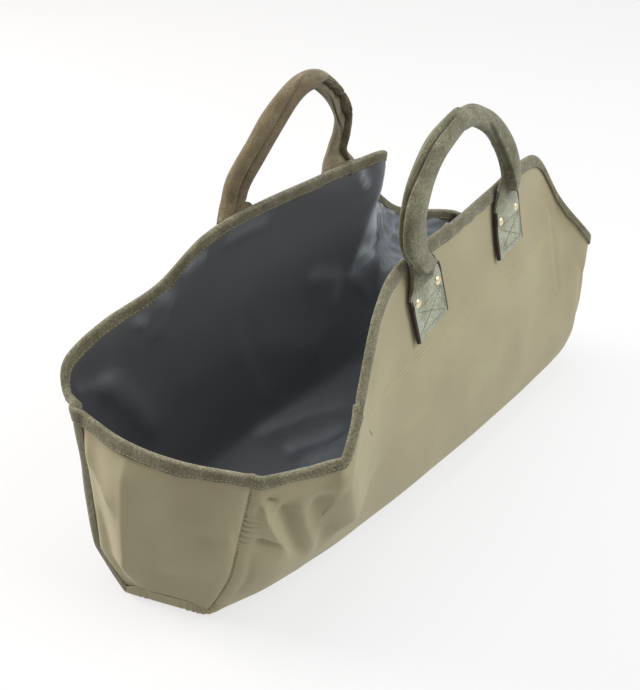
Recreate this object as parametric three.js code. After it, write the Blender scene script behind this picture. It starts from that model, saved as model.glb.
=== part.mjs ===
// Canvas log carrier: an open-ended tote with two tall sides, two low ends and two rolled handles.
// Millimetres. X runs along the bag, the front long side faces -Y, Z is up, the floor is z = 0.
import * as THREE from 'three';

// Cloth and leather
const CANVAS = 1.4;
const LINING = 1.1;
const GAP = 0.3;
const SUEDE = 1.2;
const BINDING_DEPTH = 13;
const BINDING_SLACK = 0.6;
const TOP_SLACK = 1.2;
const INNER_SLACK = 1.1;
const HEM_MARGIN = 1;
const STEEPEST_SLANT = 1.8;
const SLOPE_STEP = 0.01;

// How the body cloth turns on to each end panel
const CORNER = 5.5;
const CORNER_STEP = 0.014;
const SEAM_INSET = 9.5;
const SEAM_GAP = 0.5;
const BAND_ROWS = 2;

// Mesh density
const STATIONS = 24;
const HALF_STEPS = 12;
const FLOOR_STEPS = 2;
const END_COLUMNS = 8;
const CURVE_STEPS = 14;

// The two long sides, one row for each section from the near end to the far end. rim is the top edge,
// knee the lower bend, foot the edge of the flat bottom, and round the softness of the bends.
const SIDE_COLUMNS = ['rimX', 'rimY', 'rimZ', 'kneeY', 'kneeZ', 'footX', 'footY', 'round'];
const FRONT_SIDE = [
  [-273, -87, 179, -63, 62, -284, -31, 0.14],
  [-246, -102, 178, -88, 62, -252, -42, 0.24],
  [-211, -122, 182, -102, 70, -214, -52, 0.32],
  [-172, -115, 229, -111, 75, -172, -58, 0.36],
  [-133, -100, 281, -115, 77, -125, -63, 0.38],
  [-83, -89, 297, -118, 76, -75, -67, 0.40],
  [12, -82, 298, -119, 74, 5, -71, 0.40],
  [100, -72, 298, -118, 71, 90, -74, 0.40],
  [170, -64, 301, -114, 68, 150, -76, 0.38],
  [212, -62, 289, -110, 65, 203, -76, 0.36],
  [243, -78, 237, -106, 60, 250, -74, 0.32],
  [288, -97, 183, -98, 55, 296, -64, 0.26],
  [310, -64, 174, -66, 54, 314, -40, 0.16],
];
const BACK_SIDE = [
  [-299, 100, 179, 98, 36, -311, 53, 0.10],
  [-291, 127, 187, 110, 50, -274, 56, 0.22],
  [-276, 136, 209, 116, 62, -236, 60, 0.30],
  [-234, 129, 230, 118, 74, -190, 64, 0.36],
  [-179, 115, 248, 118, 78, -140, 66, 0.38],
  [-131, 99, 284, 116, 78, -95, 66, 0.40],
  [-60, 95, 292, 114, 78, -40, 66, 0.40],
  [25, 94, 289, 114, 78, 35, 66, 0.40],
  [95, 92, 287, 112, 78, 100, 64, 0.38],
  [147, 88, 280, 110, 76, 150, 62, 0.36],
  [165, 110, 226, 108, 72, 196, 58, 0.32],
  [220, 117, 180, 104, 64, 246, 54, 0.26],
  [288, 86, 160, 84, 58, 286, 46, 0.16],
];

// Main folds of the body cloth. along runs 0 near to 1 far, up runs 0 floor to 1 rim, turn is the
// fold's angle from the length of the bag, long and wide are in mm, depth is outwards.
const BODY_SPAN = 620;
const SIDE_SPAN = 290;
const BODY_FOLDS = [
  { side: -1, along: 0.075, up: 0.74, turn: 65, long: 46, wide: 17, depth: -7 },
  { side: -1, along: 0.125, up: 0.62, turn: 55, long: 55, wide: 16, depth: 5 },
  { side: -1, along: 0.20, up: 0.72, turn: -62, long: 60, wide: 20, depth: 5 },
  { side: 1, along: 0.72, up: 0.84, turn: 68, long: 40, wide: 15, depth: -4 },
  { side: 1, along: 0.79, up: 0.64, turn: 62, long: 52, wide: 24, depth: 7 },
];

// End panels: bulge outwards, sag of the top edge, and folds across the cloth.
// r runs -1 front to 1 back, t runs 0 floor to 1 top, and the bulge is full from BULGE_TOP upwards.
const BULGE_TOP = 0.67;
const NEAR_END = {
  along: 0,
  facing: -1,
  bulge: 7,
  sag: 9,
  folds: [
    { r: 0.55, t: 0.55, lean: 0.25, wide: 0.2, tall: 0.55, depth: 6 },
    { r: -0.75, t: 0.55, lean: -0.1, wide: 0.2, tall: 0.4, depth: -3 },
  ],
};
const FAR_END = {
  along: 1,
  facing: 1,
  bulge: 6,
  sag: 8,
  folds: [{ r: -0.4, t: 0.6, lean: 0.2, wide: 0.22, tall: 0.5, depth: 5 }],
};

// Handles: one row for each section of the strap from the near tab to the far tab.
// x and z place the middle of the strap, out is its clearance outside the panel or the rim,
// wide and thick are its section, roll runs 0 on the flat tab to 1 on the rolled grip.
const HANDLE_COLUMNS = ['x', 'z', 'out', 'wide', 'thick', 'roll'];
const FRONT_HANDLE = [
  [-43, 220, 0.5, 56, 2.6, 0],
  [-50, 257, 0.5, 57, 2.6, 0],
  [-56, 274, 2, 52, 4, 0.1],
  [-63, 288, 2.6, 40, 13, 0.6],
  [-71, 303, 3, 31, 18, 1],
  [-79, 331, -1, 29, 20, 1],
  [-73, 350, -4, 28, 21, 1],
  [-56, 370, -7, 27, 21, 1],
  [-33, 386, -9, 24, 20, 1],
  [2, 395, -10, 21, 18, 1],
  [41, 391, -10, 20, 17, 1],
  [77, 371, -7, 21, 17, 1],
  [105, 340, -2, 24, 18, 1],
  [115, 313, 2.6, 28, 17, 1],
  [114, 297, 3, 38, 13, 0.6],
  [115, 283, 2.4, 50, 4, 0.1],
  [118, 266, 0.5, 57, 2.6, 0],
  [120, 230, 0.5, 58, 2.6, 0],
];
const BACK_HANDLE = [
  [-78, 214, 0.5, 56, 2.6, 0],
  [-81, 252, 0.5, 57, 2.6, 0],
  [-81, 267, 2, 52, 4, 0.1],
  [-79, 280, 2.6, 38, 13, 0.6],
  [-77, 297, 3, 29, 18, 1],
  [-71, 316, 0, 27, 20, 1],
  [-57, 338, -4, 26, 20, 1],
  [-33, 364, -7, 26, 20, 1],
  [-9, 383, -10, 23, 19, 1],
  [13, 390, -11, 19, 18, 1],
  [34, 386, -10, 18, 17, 1],
  [61, 367, -7, 19, 17, 1],
  [79, 343, -4, 20, 16, 1],
  [82, 321, 0, 21, 16, 1],
  [78, 301, 3, 26, 15, 1],
  [75, 283, 2.6, 38, 12, 0.6],
  [74, 268, 2, 52, 4, 0.1],
  [73, 252, 0.5, 57, 2.6, 0],
  [70, 214, 0.5, 56, 2.6, 0],
];
const HANDLE_STRETCH = [0.25, 0.75];
const SEARCH_STEPS = 20;
const HANDLE_STEPS = 40;
const STRAP_SIDES = 12;
const FLAT_POWER = 7;
const ROLL_POWER = 2.3;
const GROOVE_SIDE = 4;
const GROOVE_DEPTH = 2.6;

// Rivets: two on each tab, domed caps
const RIVET_RADIUS = 4.5;
const RIVET_HEIGHT = 2.2;
const RIVET_SPREAD = 18;
const RIVET_LIFT = 0.7;
const RIVET_SIDES = 12;
const RIVET_PROFILE = [[0, 0], [1, 0], [1, 0.5], [0.72, 0.8], [0, 1]];

const COLOURS = {
  canvas: { color: 0x8c8468, roughness: 0.8, metalness: 0 },
  lining: { color: 0x3a3a3e, roughness: 0.4, metalness: 0 },
  suede: { color: 0x6d6e58, roughness: 0.95, metalness: 0 },
  brass: { color: 0xc9b274, roughness: 0.3, metalness: 1 },
};

const UP = new THREE.Vector3(0, 0, 1);
const lerp = THREE.MathUtils.lerp;
const vec = (x, y, z) => new THREE.Vector3(x, y, z);
const bell = (a, b) => Math.exp(-a * a - b * b);

// A smooth row between the rows of a table, at t from 0 to 1.
function rowAt(table, columns, t) {
  const last = table.length - 1;
  const place = THREE.MathUtils.clamp(t, 0, 1) * last;
  const i = Math.min(Math.floor(place), last - 1);
  const f = place - i;
  const row = {};
  columns.forEach((name, k) => {
    const p1 = table[i][k];
    const p2 = table[i + 1][k];
    const p0 = i > 0 ? table[i - 1][k] : 2 * p1 - p2;
    const p3 = i < last - 1 ? table[i + 2][k] : 2 * p2 - p1;
    const slope = p2 - p0;
    const bend = 2 * p0 - 5 * p1 + 4 * p2 - p3;
    const twist = 3 * (p1 - p2) + p3 - p0;
    row[name] = p1 + (f / 2) * (slope + f * (bend + f * twist));
  });
  return row;
}

// A quadratic spline that starts and ends on its first and last corner.
function softCurve(corners) {
  const path = new THREE.CurvePath();
  const spans = corners.length - 2;
  for (let k = 0; k < spans; k += 1) {
    const from = k === 0 ? corners[0] : corners[k].clone().lerp(corners[k + 1], 0.5);
    const to = k === spans - 1 ? corners[k + 2] : corners[k + 1].clone().lerp(corners[k + 2], 0.5);
    path.add(new THREE.QuadraticBezierCurve3(from, corners[k + 1], to));
  }
  path.arcLengthDivisions = CURVE_STEPS * spans;
  return path;
}

// How far the binding reaches down the section: more where the rim slopes, so that its width stays even.
function hemDepth(table, along) {
  const before = rowAt(table, SIDE_COLUMNS, along - SLOPE_STEP);
  const after = rowAt(table, SIDE_COLUMNS, along + SLOPE_STEP);
  const run = Math.hypot(after.rimX - before.rimX, after.rimY - before.rimY);
  const slant = Math.hypot(1, (after.rimZ - before.rimZ) / run);
  return BINDING_DEPTH * Math.min(slant, STEEPEST_SLANT) + HEM_MARGIN;
}

// Main folds: how far the cloth stands out of its smooth section.
function foldDepth(side, along, up) {
  let depth = 0;
  for (const fold of BODY_FOLDS.filter((f) => f.side === side)) {
    const turn = THREE.MathUtils.degToRad(fold.turn);
    const dx = (along - fold.along) * BODY_SPAN;
    const dz = (up - fold.up) * SIDE_SPAN;
    const a = (dx * Math.cos(turn) + dz * Math.sin(turn)) / fold.long;
    const b = (dz * Math.cos(turn) - dx * Math.sin(turn)) / fold.wide;
    depth += fold.depth * bell(a, b);
  }
  return depth;
}

// One half of a section, from the middle of the floor up to the rim; its last step is the bound hem.
function halfSection(side, along, middle) {
  const table = side < 0 ? FRONT_SIDE : BACK_SIDE;
  const row = rowAt(table, SIDE_COLUMNS, along);
  const foot = vec(row.footX, row.footY, 0);
  const rim = vec(row.rimX, row.rimY, row.rimZ);
  const knee = foot.clone().lerp(rim, row.kneeZ / row.rimZ);
  knee.y = row.kneeY;
  const curve = softCurve([
    middle,
    middle.clone().lerp(foot, 0.5),
    foot.clone().lerp(middle, row.round),
    foot.clone().lerp(knee, row.round),
    knee.clone().lerp(foot, row.round),
    knee.clone().lerp(rim, row.round),
    rim,
  ]);
  const hem = 1 - hemDepth(table, along) / curve.getLength();
  return Array.from({ length: HALF_STEPS + 1 }, (_, k) => {
    const up = k < HALF_STEPS ? (hem * k) / (HALF_STEPS - 1) : 1;
    const point = curve.getPointAt(up);
    point.y += side * foldDepth(side, along, up);
    return point;
  });
}

// The whole section at one station, from the front rim under the floor to the back rim.
function sectionAt(along) {
  const front = rowAt(FRONT_SIDE, SIDE_COLUMNS, along);
  const back = rowAt(BACK_SIDE, SIDE_COLUMNS, along);
  const middle = vec((front.footX + back.footX) / 2, (front.footY + back.footY) / 2, 0);
  const frontHalf = halfSection(-1, along, middle);
  const backHalf = halfSection(1, along, middle);
  return [...frontHalf.reverse(), ...backHalf.slice(1)];
}

// Directions that lead from an end outline towards the middle of that end.
function inwardFrom(outline, facing) {
  const last = outline.length - 1;
  const out = outline[last].clone().sub(outline[0]).cross(UP).normalize().multiplyScalar(facing);
  const inward = outline.map((_, j) => {
    const along = outline[Math.min(j + 1, last)].clone().sub(outline[Math.max(j - 1, 0)]);
    return along.cross(out).multiplyScalar(-facing).normalize();
  });
  return { inward, out };
}

function inset(outline, inward, distance) {
  return outline.map((p, j) => p.clone().addScaledVector(inward[j], distance));
}

// Rows of points over the body cloth, with the turned-in seam band at both ends.
function bodyRows() {
  const turned = (end) => {
    const corner = sectionAt(end.along);
    const { inward } = inwardFrom(corner, end.facing);
    const side = sectionAt(end.along - end.facing * CORNER_STEP);
    const face = inset(corner, inward, CORNER);
    const bend = corner.map((p, j) => side[j].clone().lerp(face[j], 0.5).lerp(p, 0.5));
    return [inset(corner, inward, SEAM_INSET), face, bend, side];
  };
  const between = Array.from({ length: STATIONS - 1 }, (_, k) => sectionAt((k + 1) / STATIONS));
  return [...turned(NEAR_END), ...between, ...turned(FAR_END).reverse()];
}

// Rows of points over an end panel, from its bottom edge to its top edge, front to back.
function endRows(end) {
  const corner = sectionAt(end.along);
  const { inward, out } = inwardFrom(corner, end.facing);
  const edge = inset(corner, inward, SEAM_INSET + SEAM_GAP);
  const rows = [];
  for (let k = FLOOR_STEPS; k <= HALF_STEPS; k += 1) {
    const t = (k - FLOOR_STEPS) / (HALF_STEPS - FLOOR_STEPS);
    const from = edge[HALF_STEPS - k];
    const to = edge[HALF_STEPS + k];
    rows.push(Array.from({ length: END_COLUMNS + 1 }, (_, c) => {
      const r = (2 * c) / END_COLUMNS - 1;
      const free = ((1 - r * r) * Math.sin((Math.PI / 2) * Math.min(t / BULGE_TOP, 1))) ** 2;
      const depths = end.folds.map((fold) => {
        const off = r - fold.r - fold.lean * (t - fold.t);
        return fold.depth * bell(off / fold.wide, (t - fold.t) / fold.tall);
      });
      const push = free * depths.reduce((sum, depth) => sum + depth, end.bulge);
      const point = from.clone().lerp(to, c / END_COLUMNS).addScaledVector(out, push);
      point.z -= end.sag * (1 - r * r) * t * t;
      return point;
    }));
  }
  return rows;
}

// Each end is offset straight along its own facing, and so is the seam band that lies beside it.
function flatNormals(rows, end) {
  const { out } = inwardFrom(sectionAt(end.along), end.facing);
  return rows.map((row) => row.map(() => out.clone()));
}

// Unit normals of the body cloth, pointing away from the inside of the bag.
function bodyNormals(rows) {
  const near = (list, k, step) => list[THREE.MathUtils.clamp(k + step, 0, list.length - 1)];
  const normals = rows.map((row, i) => row.map((_, j) => {
    const across = near(row, j, 1).clone().sub(near(row, j, -1));
    const along = near(rows, i, 1)[j].clone().sub(near(rows, i, -1)[j]);
    return across.cross(along).normalize();
  }));
  normals.splice(0, BAND_ROWS, ...flatNormals(rows.slice(0, BAND_ROWS), NEAR_END));
  normals.splice(-BAND_ROWS, BAND_ROWS, ...flatNormals(rows.slice(-BAND_ROWS), FAR_END));
  return normals;
}

function offsetRows(rows, normals, distance) {
  return rows.map((row, i) => row.map((p, j) => p.clone().addScaledVector(normals[i][j], -distance)));
}

function signedVolume(points, faces) {
  let sum = 0;
  for (const [a, b, c] of faces) sum += points[a].dot(points[b].clone().cross(points[c]));
  return sum / 6;
}

function solidGeometry(points, faces) {
  const outward = signedVolume(points, faces) > 0 ? faces : faces.map(([a, b, c]) => [a, c, b]);
  const geometry = new THREE.BufferGeometry().setFromPoints(points);
  geometry.setIndex(outward.flat());
  geometry.computeVertexNormals();
  return geometry;
}

// Two triangles for a patch, split along its shorter diagonal, so that layers of cloth bend alike.
function patch(points, [a, b, c, d]) {
  const straight = points[a].distanceTo(points[c]) <= points[b].distanceTo(points[d]);
  return straight ? [[a, b, c], [a, c, d]] : [[b, c, d], [b, d, a]];
}

// A closed sheet between two grids of the same size.
function sheet(outer, inner) {
  const width = outer[0].length;
  const count = outer.length * width;
  const points = [...outer.flat(), ...inner.flat()];
  const at = (i, j) => i * width + j;
  const faces = [];
  for (let i = 0; i + 1 < outer.length; i += 1) {
    for (let j = 0; j + 1 < width; j += 1) {
      const split = patch(points, [at(i, j), at(i + 1, j), at(i + 1, j + 1), at(i, j + 1)]);
      faces.push(...split, ...split.map(([a, b, c]) => [a + count, c + count, b + count]));
    }
  }
  const rim = [];
  for (let j = 0; j + 1 < width; j += 1) rim.push(at(0, j));
  for (let i = 0; i + 1 < outer.length; i += 1) rim.push(at(i, width - 1));
  for (let j = width - 1; j > 0; j -= 1) rim.push(at(outer.length - 1, j));
  for (let i = outer.length - 1; i > 0; i -= 1) rim.push(at(i, 0));
  rim.forEach((a, k) => {
    const b = rim[(k + 1) % rim.length];
    faces.push(...patch(points, [a, b, b + count, a + count]));
  });
  return solidGeometry(points, faces);
}

// A solid through rings of points: a closed loop, or a bar with flat ends.
function loft(rings, closed) {
  const sides = rings[0].length;
  const points = rings.flat();
  const faces = [];
  const spans = closed ? rings.length : rings.length - 1;
  for (let i = 0; i < spans; i += 1) {
    const next = (i + 1) % rings.length;
    for (let k = 0; k < sides; k += 1) {
      const m = (k + 1) % sides;
      faces.push(...patch(points, [i * sides + k, next * sides + k, next * sides + m, i * sides + m]));
    }
  }
  if (!closed) {
    const end = (rings.length - 1) * sides;
    for (let k = 1; k + 1 < sides; k += 1) faces.push([0, k, k + 1], [end, end + k + 1, end + k]);
  }
  return solidGeometry(points, faces);
}

const group = new THREE.Group();

function addPiece(name, geometry, finish) {
  const mesh = new THREE.Mesh(geometry, new THREE.MeshStandardMaterial(COLOURS[finish]));
  mesh.name = name;
  group.add(mesh);
  return mesh;
}

// The three cloth pieces, each a canvas sheet outside and a lining sheet inside.
const cloth = [
  { name: 'body', rows: bodyRows(), normals: bodyNormals },
  { name: 'near_end', rows: endRows(NEAR_END), normals: (rows) => flatNormals(rows, NEAR_END) },
  { name: 'far_end', rows: endRows(FAR_END), normals: (rows) => flatNormals(rows, FAR_END) },
];
for (const piece of cloth) {
  piece.normals = piece.normals(piece.rows);
  const at = (distance) => offsetRows(piece.rows, piece.normals, distance);
  const liningTop = CANVAS + GAP;
  addPiece(`${piece.name}_canvas`, sheet(at(0), at(CANVAS)), 'canvas');
  addPiece(`${piece.name}_lining`, sheet(at(liningTop), at(liningTop + LINING)), 'lining');
}

// The suede binding, a channel folded over the whole mouth. Each stop has the rim and the hem below it.
function mouthStops() {
  const [body, near, far] = cloth;
  const last = body.rows[0].length - 1;
  const stop = ({ rows, normals }, [i, j], [i2, j2], depth) => {
    const reach = depth ?? 1 - HEM_MARGIN / rows[i][j].distanceTo(rows[i2][j2]);
    return {
      rim: rows[i][j],
      rimOut: normals[i][j],
      hem: rows[i][j].clone().lerp(rows[i2][j2], reach),
      hemOut: normals[i][j].clone().lerp(normals[i2][j2], reach),
    };
  };
  const topOf = (end) => {
    const top = end.rows.length - 1;
    return end.rows[top].map((point, c) => {
      const depth = BINDING_DEPTH / point.distanceTo(end.rows[top - 1][c]);
      return stop(end, [top, c], [top - 1, c], depth);
    }).slice(1, -1);
  };
  const frontRim = body.rows.map((_, i) => stop(body, [i, 0], [i, 1]));
  const backRim = body.rows.map((_, i) => stop(body, [i, last], [i, last - 1]));
  return [...frontRim, ...topOf(far), ...backRim.reverse(), ...topOf(near).reverse()];
}

function bindingGeometry() {
  const channelOut = BINDING_SLACK;
  const channelIn = -(CANVAS + GAP + LINING + INNER_SLACK);
  const rings = mouthStops().map(({ rim, rimOut, hem, hemOut }) => {
    const up = rim.clone().sub(hem).normalize();
    const low = (off) => hem.clone().addScaledVector(hemOut, off);
    const high = (off, rise) => rim.clone().addScaledVector(rimOut, off).addScaledVector(up, rise);
    return [
      low(channelOut + SUEDE),
      high(channelOut + SUEDE, TOP_SLACK + SUEDE),
      high(channelIn - SUEDE, TOP_SLACK + SUEDE),
      low(channelIn - SUEDE),
      low(channelIn),
      high(channelIn, TOP_SLACK),
      high(channelOut, TOP_SLACK),
      low(channelOut),
    ];
  });
  return loft(rings, true);
}
addPiece('mouth_binding', bindingGeometry(), 'suede');

// Where a side panel's outer face stands at a given x and z; above the rim it gives the rim.
function panelY(side, x, z) {
  const pointOn = (along) => {
    const section = sectionAt(along);
    const half = side < 0 ? section.slice(0, HALF_STEPS + 1).reverse() : section.slice(HALF_STEPS);
    let k = 1;
    while (k < HALF_STEPS && half[k].z < z) k += 1;
    const f = THREE.MathUtils.clamp((z - half[k - 1].z) / (half[k].z - half[k - 1].z), 0, 1);
    return half[k - 1].clone().lerp(half[k], f);
  };
  let [low, high] = HANDLE_STRETCH;
  for (let step = 0; step < SEARCH_STEPS; step += 1) {
    const middle = (low + high) / 2;
    if (pointOn(middle).x < x) low = middle;
    else high = middle;
  }
  return pointOn((low + high) / 2).y;
}

function strapSection(row, ahead, side) {
  const power = lerp(FLAT_POWER, ROLL_POWER, row.roll);
  const round = (value) => Math.sign(value) * Math.abs(value) ** (2 / power);
  return Array.from({ length: STRAP_SIDES }, (_, k) => {
    const angle = (2 * Math.PI * (k + 0.5)) / STRAP_SIDES;
    const groove = k === GROOVE_SIDE ? GROOVE_DEPTH * row.roll : 0;
    const across = (row.wide / 2) * round(Math.cos(angle));
    const outwards = (row.thick / 2) * (1 + round(Math.sin(angle))) - groove;
    const x = row.x - ahead.z * across;
    const z = row.z + ahead.x * across;
    return vec(x, panelY(side, x, z) + side * (row.out + outwards), z);
  });
}

function addHandle(name, table, side) {
  const stops = Array.from({ length: HANDLE_STEPS + 1 }, (_, k) => k / HANDLE_STEPS);
  const rows = stops.map((t) => rowAt(table, HANDLE_COLUMNS, t));
  const rings = rows.map((row, k) => {
    const before = rows[Math.max(k - 1, 0)];
    const after = rows[Math.min(k + 1, HANDLE_STEPS)];
    const ahead = vec(after.x - before.x, 0, after.z - before.z).normalize();
    return strapSection(row, ahead, side);
  });
  addPiece(`${name}_handle`, loft(rings, false), 'suede');
}
addHandle('front', FRONT_HANDLE, -1);
addHandle('back', BACK_HANDLE, 1);

// Domed rivets, two across each tab, standing on the tab's outer face.
function rivetGeometry() {
  const points = RIVET_PROFILE.map(([r, h]) => new THREE.Vector2(r * RIVET_RADIUS, h * RIVET_HEIGHT));
  const lathe = new THREE.LatheGeometry(points, RIVET_SIDES);
  lathe.rotateX(Math.PI / 2);
  return lathe;
}

function addRivets(name, table, side) {
  const tabs = { near: table.slice(0, 2), far: table.slice(-2).reverse() };
  for (const [end, [foot, row]] of Object.entries(tabs)) {
    const [tabX, tabZ, clearance, , thick] = row;
    const ahead = vec(tabX - foot[0], 0, tabZ - foot[1]).normalize();
    [-1, 1].forEach((hand, k) => {
      const x = tabX + hand * RIVET_SPREAD * ahead.z;
      const z = tabZ - hand * RIVET_SPREAD * ahead.x;
      const slope = (dx, dz) => {
        const rise = panelY(side, x + dx, z + dz) - panelY(side, x - dx, z - dz);
        return rise / (2 * RIVET_RADIUS);
      };
      const out = vec(-slope(RIVET_RADIUS, 0) * side, side, -slope(0, RIVET_RADIUS) * side).normalize();
      const rivet = addPiece(`${name}_${end}_rivet_${k + 1}`, rivetGeometry(), 'brass');
      rivet.position.set(x, panelY(side, x, z), z).addScaledVector(out, clearance + thick + RIVET_LIFT);
      rivet.quaternion.setFromUnitVectors(UP, out);
    });
  }
}
addRivets('front', FRONT_HANDLE, -1);
addRivets('back', BACK_HANDLE, 1);

export default group;
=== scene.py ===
import math

import bpy
import numpy as np
from mathutils import Matrix, Vector


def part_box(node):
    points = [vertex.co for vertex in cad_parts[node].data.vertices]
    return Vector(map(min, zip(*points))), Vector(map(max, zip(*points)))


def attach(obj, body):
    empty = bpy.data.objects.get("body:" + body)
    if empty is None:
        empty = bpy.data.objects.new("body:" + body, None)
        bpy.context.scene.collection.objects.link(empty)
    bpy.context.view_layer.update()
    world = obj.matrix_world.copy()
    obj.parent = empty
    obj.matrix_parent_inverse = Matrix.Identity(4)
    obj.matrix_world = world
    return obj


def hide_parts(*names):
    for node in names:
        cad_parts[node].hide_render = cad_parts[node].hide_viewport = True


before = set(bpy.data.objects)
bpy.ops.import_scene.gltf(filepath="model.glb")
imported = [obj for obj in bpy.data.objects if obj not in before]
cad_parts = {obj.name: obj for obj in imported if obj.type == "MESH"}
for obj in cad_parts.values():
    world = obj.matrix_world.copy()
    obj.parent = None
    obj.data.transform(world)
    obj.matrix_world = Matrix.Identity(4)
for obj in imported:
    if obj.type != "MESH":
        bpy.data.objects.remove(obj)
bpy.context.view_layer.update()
mm = 0.001
print("frame loaded,", len(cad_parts), "nodes")


# Small tools


def smooth(value):
    f = np.clip(value, 0, 1)
    return f * f * (3 - 2 * f)


def ramp(value, start, over):
    return smooth((value - start) / over)


def bell(value):
    return np.exp(-value ** 2)


def unit(vectors):
    return vectors / np.maximum(np.linalg.norm(vectors, axis=-1, keepdims=True), 1e-12)


def sampled(places, run, rows):  # rows at places along a run, on straight lines between the rows
    return np.stack([np.interp(places, run, column) for column in np.transpose(rows)], axis=-1)


def bent(f, start, middle, end):  # a curve from start to end, drawn towards the middle
    return (1 - f) ** 2 * start + 2 * f * (1 - f) * middle + f * f * end


def rowsAt(table, t):  # smooth rows between the rows of a table, t from 0 to 1
    table = np.asarray(table, float)
    last = len(table) - 1
    place = np.clip(t, 0, 1) * last
    i = np.minimum(place.astype(int), last - 1)
    f = (place - i)[:, None]
    ends = np.vstack([2 * table[0] - table[1], table, 2 * table[-1] - table[-2]])
    p0, p1, p2, p3 = (ends[i + k] for k in range(4))
    bend = 2 * p0 - 5 * p1 + 4 * p2 - p3
    twist = 3 * (p1 - p2) + p3 - p0
    return p1 + f / 2 * ((p2 - p0) + f * (bend + f * twist))


def blurred(values, width, mode="edge"):  # soft average along the first axis, width in samples
    reach = int(3 * width) + 1
    kernel = np.exp(-0.5 * (np.arange(-reach, reach + 1) / width) ** 2)
    kernel /= kernel.sum()
    flat = np.pad(values.reshape(len(values), -1), ((reach, reach), (0, 0)), mode)
    columns = [np.convolve(column, kernel, "valid") for column in flat.T]
    return np.stack(columns, axis=1).reshape(values.shape)


def ripple(u, v, size, seed, waves=14):  # soft uneven waves, the same on each run
    draw = np.random.default_rng(seed)
    total = 0
    for turn, stretch, phase in draw.uniform((0, 0.6, 0), (2 * math.pi, 1.6, 2 * math.pi), (waves, 3)):
        step = 2 * math.pi * stretch / size
        total = total + np.sin(step * (u * math.cos(turn) + v * math.sin(turn)) + phase)
    return total / math.sqrt(waves / 2)


def ridged(u, v, size, seed, top=1.3):  # sharp-edged crumples of a coated cloth
    return np.maximum(top - np.abs(ripple(u, v, size, seed)), 0)


creaseEnds = {"finer": 3, "fadeIn": 5, "startShare": 0.15, "fadeOut": 4}


def creaseDepth(creases, u, v):  # folds along short lines on the flat cloth, places in mm
    depth = np.zeros(np.broadcast(u, v).shape)
    for line, width, height, sharp in creases:  # a width, or one each for the left and right of the line
        line = rowsAt(line, np.linspace(0, 1, creaseEnds["finer"] * len(line)))
        nearest = np.full(depth.shape, 1e6)
        share = np.zeros(depth.shape)
        onLeft = np.zeros(depth.shape, bool)
        for k, ((u0, v0), (u1, v1)) in enumerate(zip(line[:-1], line[1:])):
            du, dv = u1 - u0, v1 - v0
            f = np.clip(((u - u0) * du + (v - v0) * dv) / (du * du + dv * dv), 0, 1)
            gap = np.hypot(u - u0 - f * du, v - v0 - f * dv)
            closer = gap < nearest
            share = np.where(closer, (k + f) / (len(line) - 1), share)
            onLeft = np.where(closer, du * (v - v0) > dv * (u - u0), onLeft)
            nearest = np.minimum(gap, nearest)
        left, right = np.broadcast_to(width, 2)
        fade = smooth(share * creaseEnds["fadeIn"] + creaseEnds["startShare"])
        fade = fade * smooth((1 - share) * creaseEnds["fadeOut"])
        depth += height * fade * np.exp(-(nearest / np.where(onLeft, left, right)) ** sharp)
    return depth


def inMillimetres(creases, width, height):  # from thousandths of the cloth's sides
    return [([(a / 1000 * width, b / 1000 * height) for a, b in line], *rest) for line, *rest in creases]


def gridNormals(points):
    return unit(np.cross(np.gradient(points, axis=1), np.gradient(points, axis=0)))


def runLength(points):  # distance run along a line of points
    steps = np.linalg.norm(np.diff(points, axis=0), axis=1)
    return np.concatenate([[0], np.cumsum(steps)])


def gridArea(points):
    a = points[1:, 1:] - points[:-1, :-1]
    b = points[1:, :-1] - points[:-1, 1:]
    return float(np.linalg.norm(np.cross(a, b), axis=2).sum() / 2)


def activate(piece):
    bpy.ops.object.select_all(action="DESELECT")
    piece.select_set(True)
    bpy.context.view_layer.objects.active = piece


def meshPiece(name, points, faces, uv=None, values=None):
    mesh = bpy.data.meshes.new(name)
    mesh.from_pydata(points.reshape(-1, 3).tolist(), [], faces)
    if uv is not None:
        corner = np.empty(len(mesh.loops), np.int32)
        mesh.loops.foreach_get("vertex_index", corner)
        layer = mesh.uv_layers.new(name="clothMap")
        layer.data.foreach_set("uv", uv.reshape(-1, 2)[corner].astype(np.float32).ravel())
    for key, value in (values or {}).items():
        attribute = mesh.attributes.new(key, "FLOAT", "POINT")
        attribute.data.foreach_set("value", value.astype(np.float32).ravel())
    mesh.update()
    piece = bpy.data.objects.new(name, mesh)
    bpy.context.scene.collection.objects.link(piece)
    return piece


def gridFaces(rows, columns, closedRows=False, closedColumns=False):
    i = np.arange(rows if closedRows else rows - 1)
    j = np.arange(columns if closedColumns else columns - 1)
    i, j = (part.ravel() for part in np.meshgrid(i, j, indexing="ij"))
    i2, j2 = (i + 1) % rows, (j + 1) % columns
    corners = [i * columns + j, i * columns + j2, i2 * columns + j2, i2 * columns + j]
    return np.stack(corners, axis=1).tolist()


def thicken(piece, thickness):  # the wall grows inwards from the sheet's outer face
    activate(piece)
    wall = piece.modifiers.new("wall", "SOLIDIFY")
    wall.thickness = thickness
    wall.offset = -1
    bpy.ops.object.modifier_apply(modifier=wall.name)


def softEdges(piece, degrees):
    activate(piece)
    bpy.ops.object.shade_smooth_by_angle(angle=math.radians(degrees))


def faceOutwards(piece):
    activate(piece)
    bpy.ops.object.mode_set(mode="EDIT")
    bpy.ops.mesh.select_all(action="SELECT")
    bpy.ops.mesh.normals_make_consistent(inside=False)
    bpy.ops.object.mode_set(mode="OBJECT")


def dress(piece, material, slot, *nodes):  # finish, body, and the frame parts that the piece hides
    piece.data.materials.append(material)
    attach(piece, "root")
    if nodes:
        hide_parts(*nodes)


# Materials


def linear(hexText):
    parts = [int(hexText[k:k + 2], 16) / 255 for k in (1, 3, 5)]
    return [c / 12.92 if c <= 0.04045 else ((c + 0.055) / 1.055) ** 2.4 for c in parts] + [1]


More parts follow.
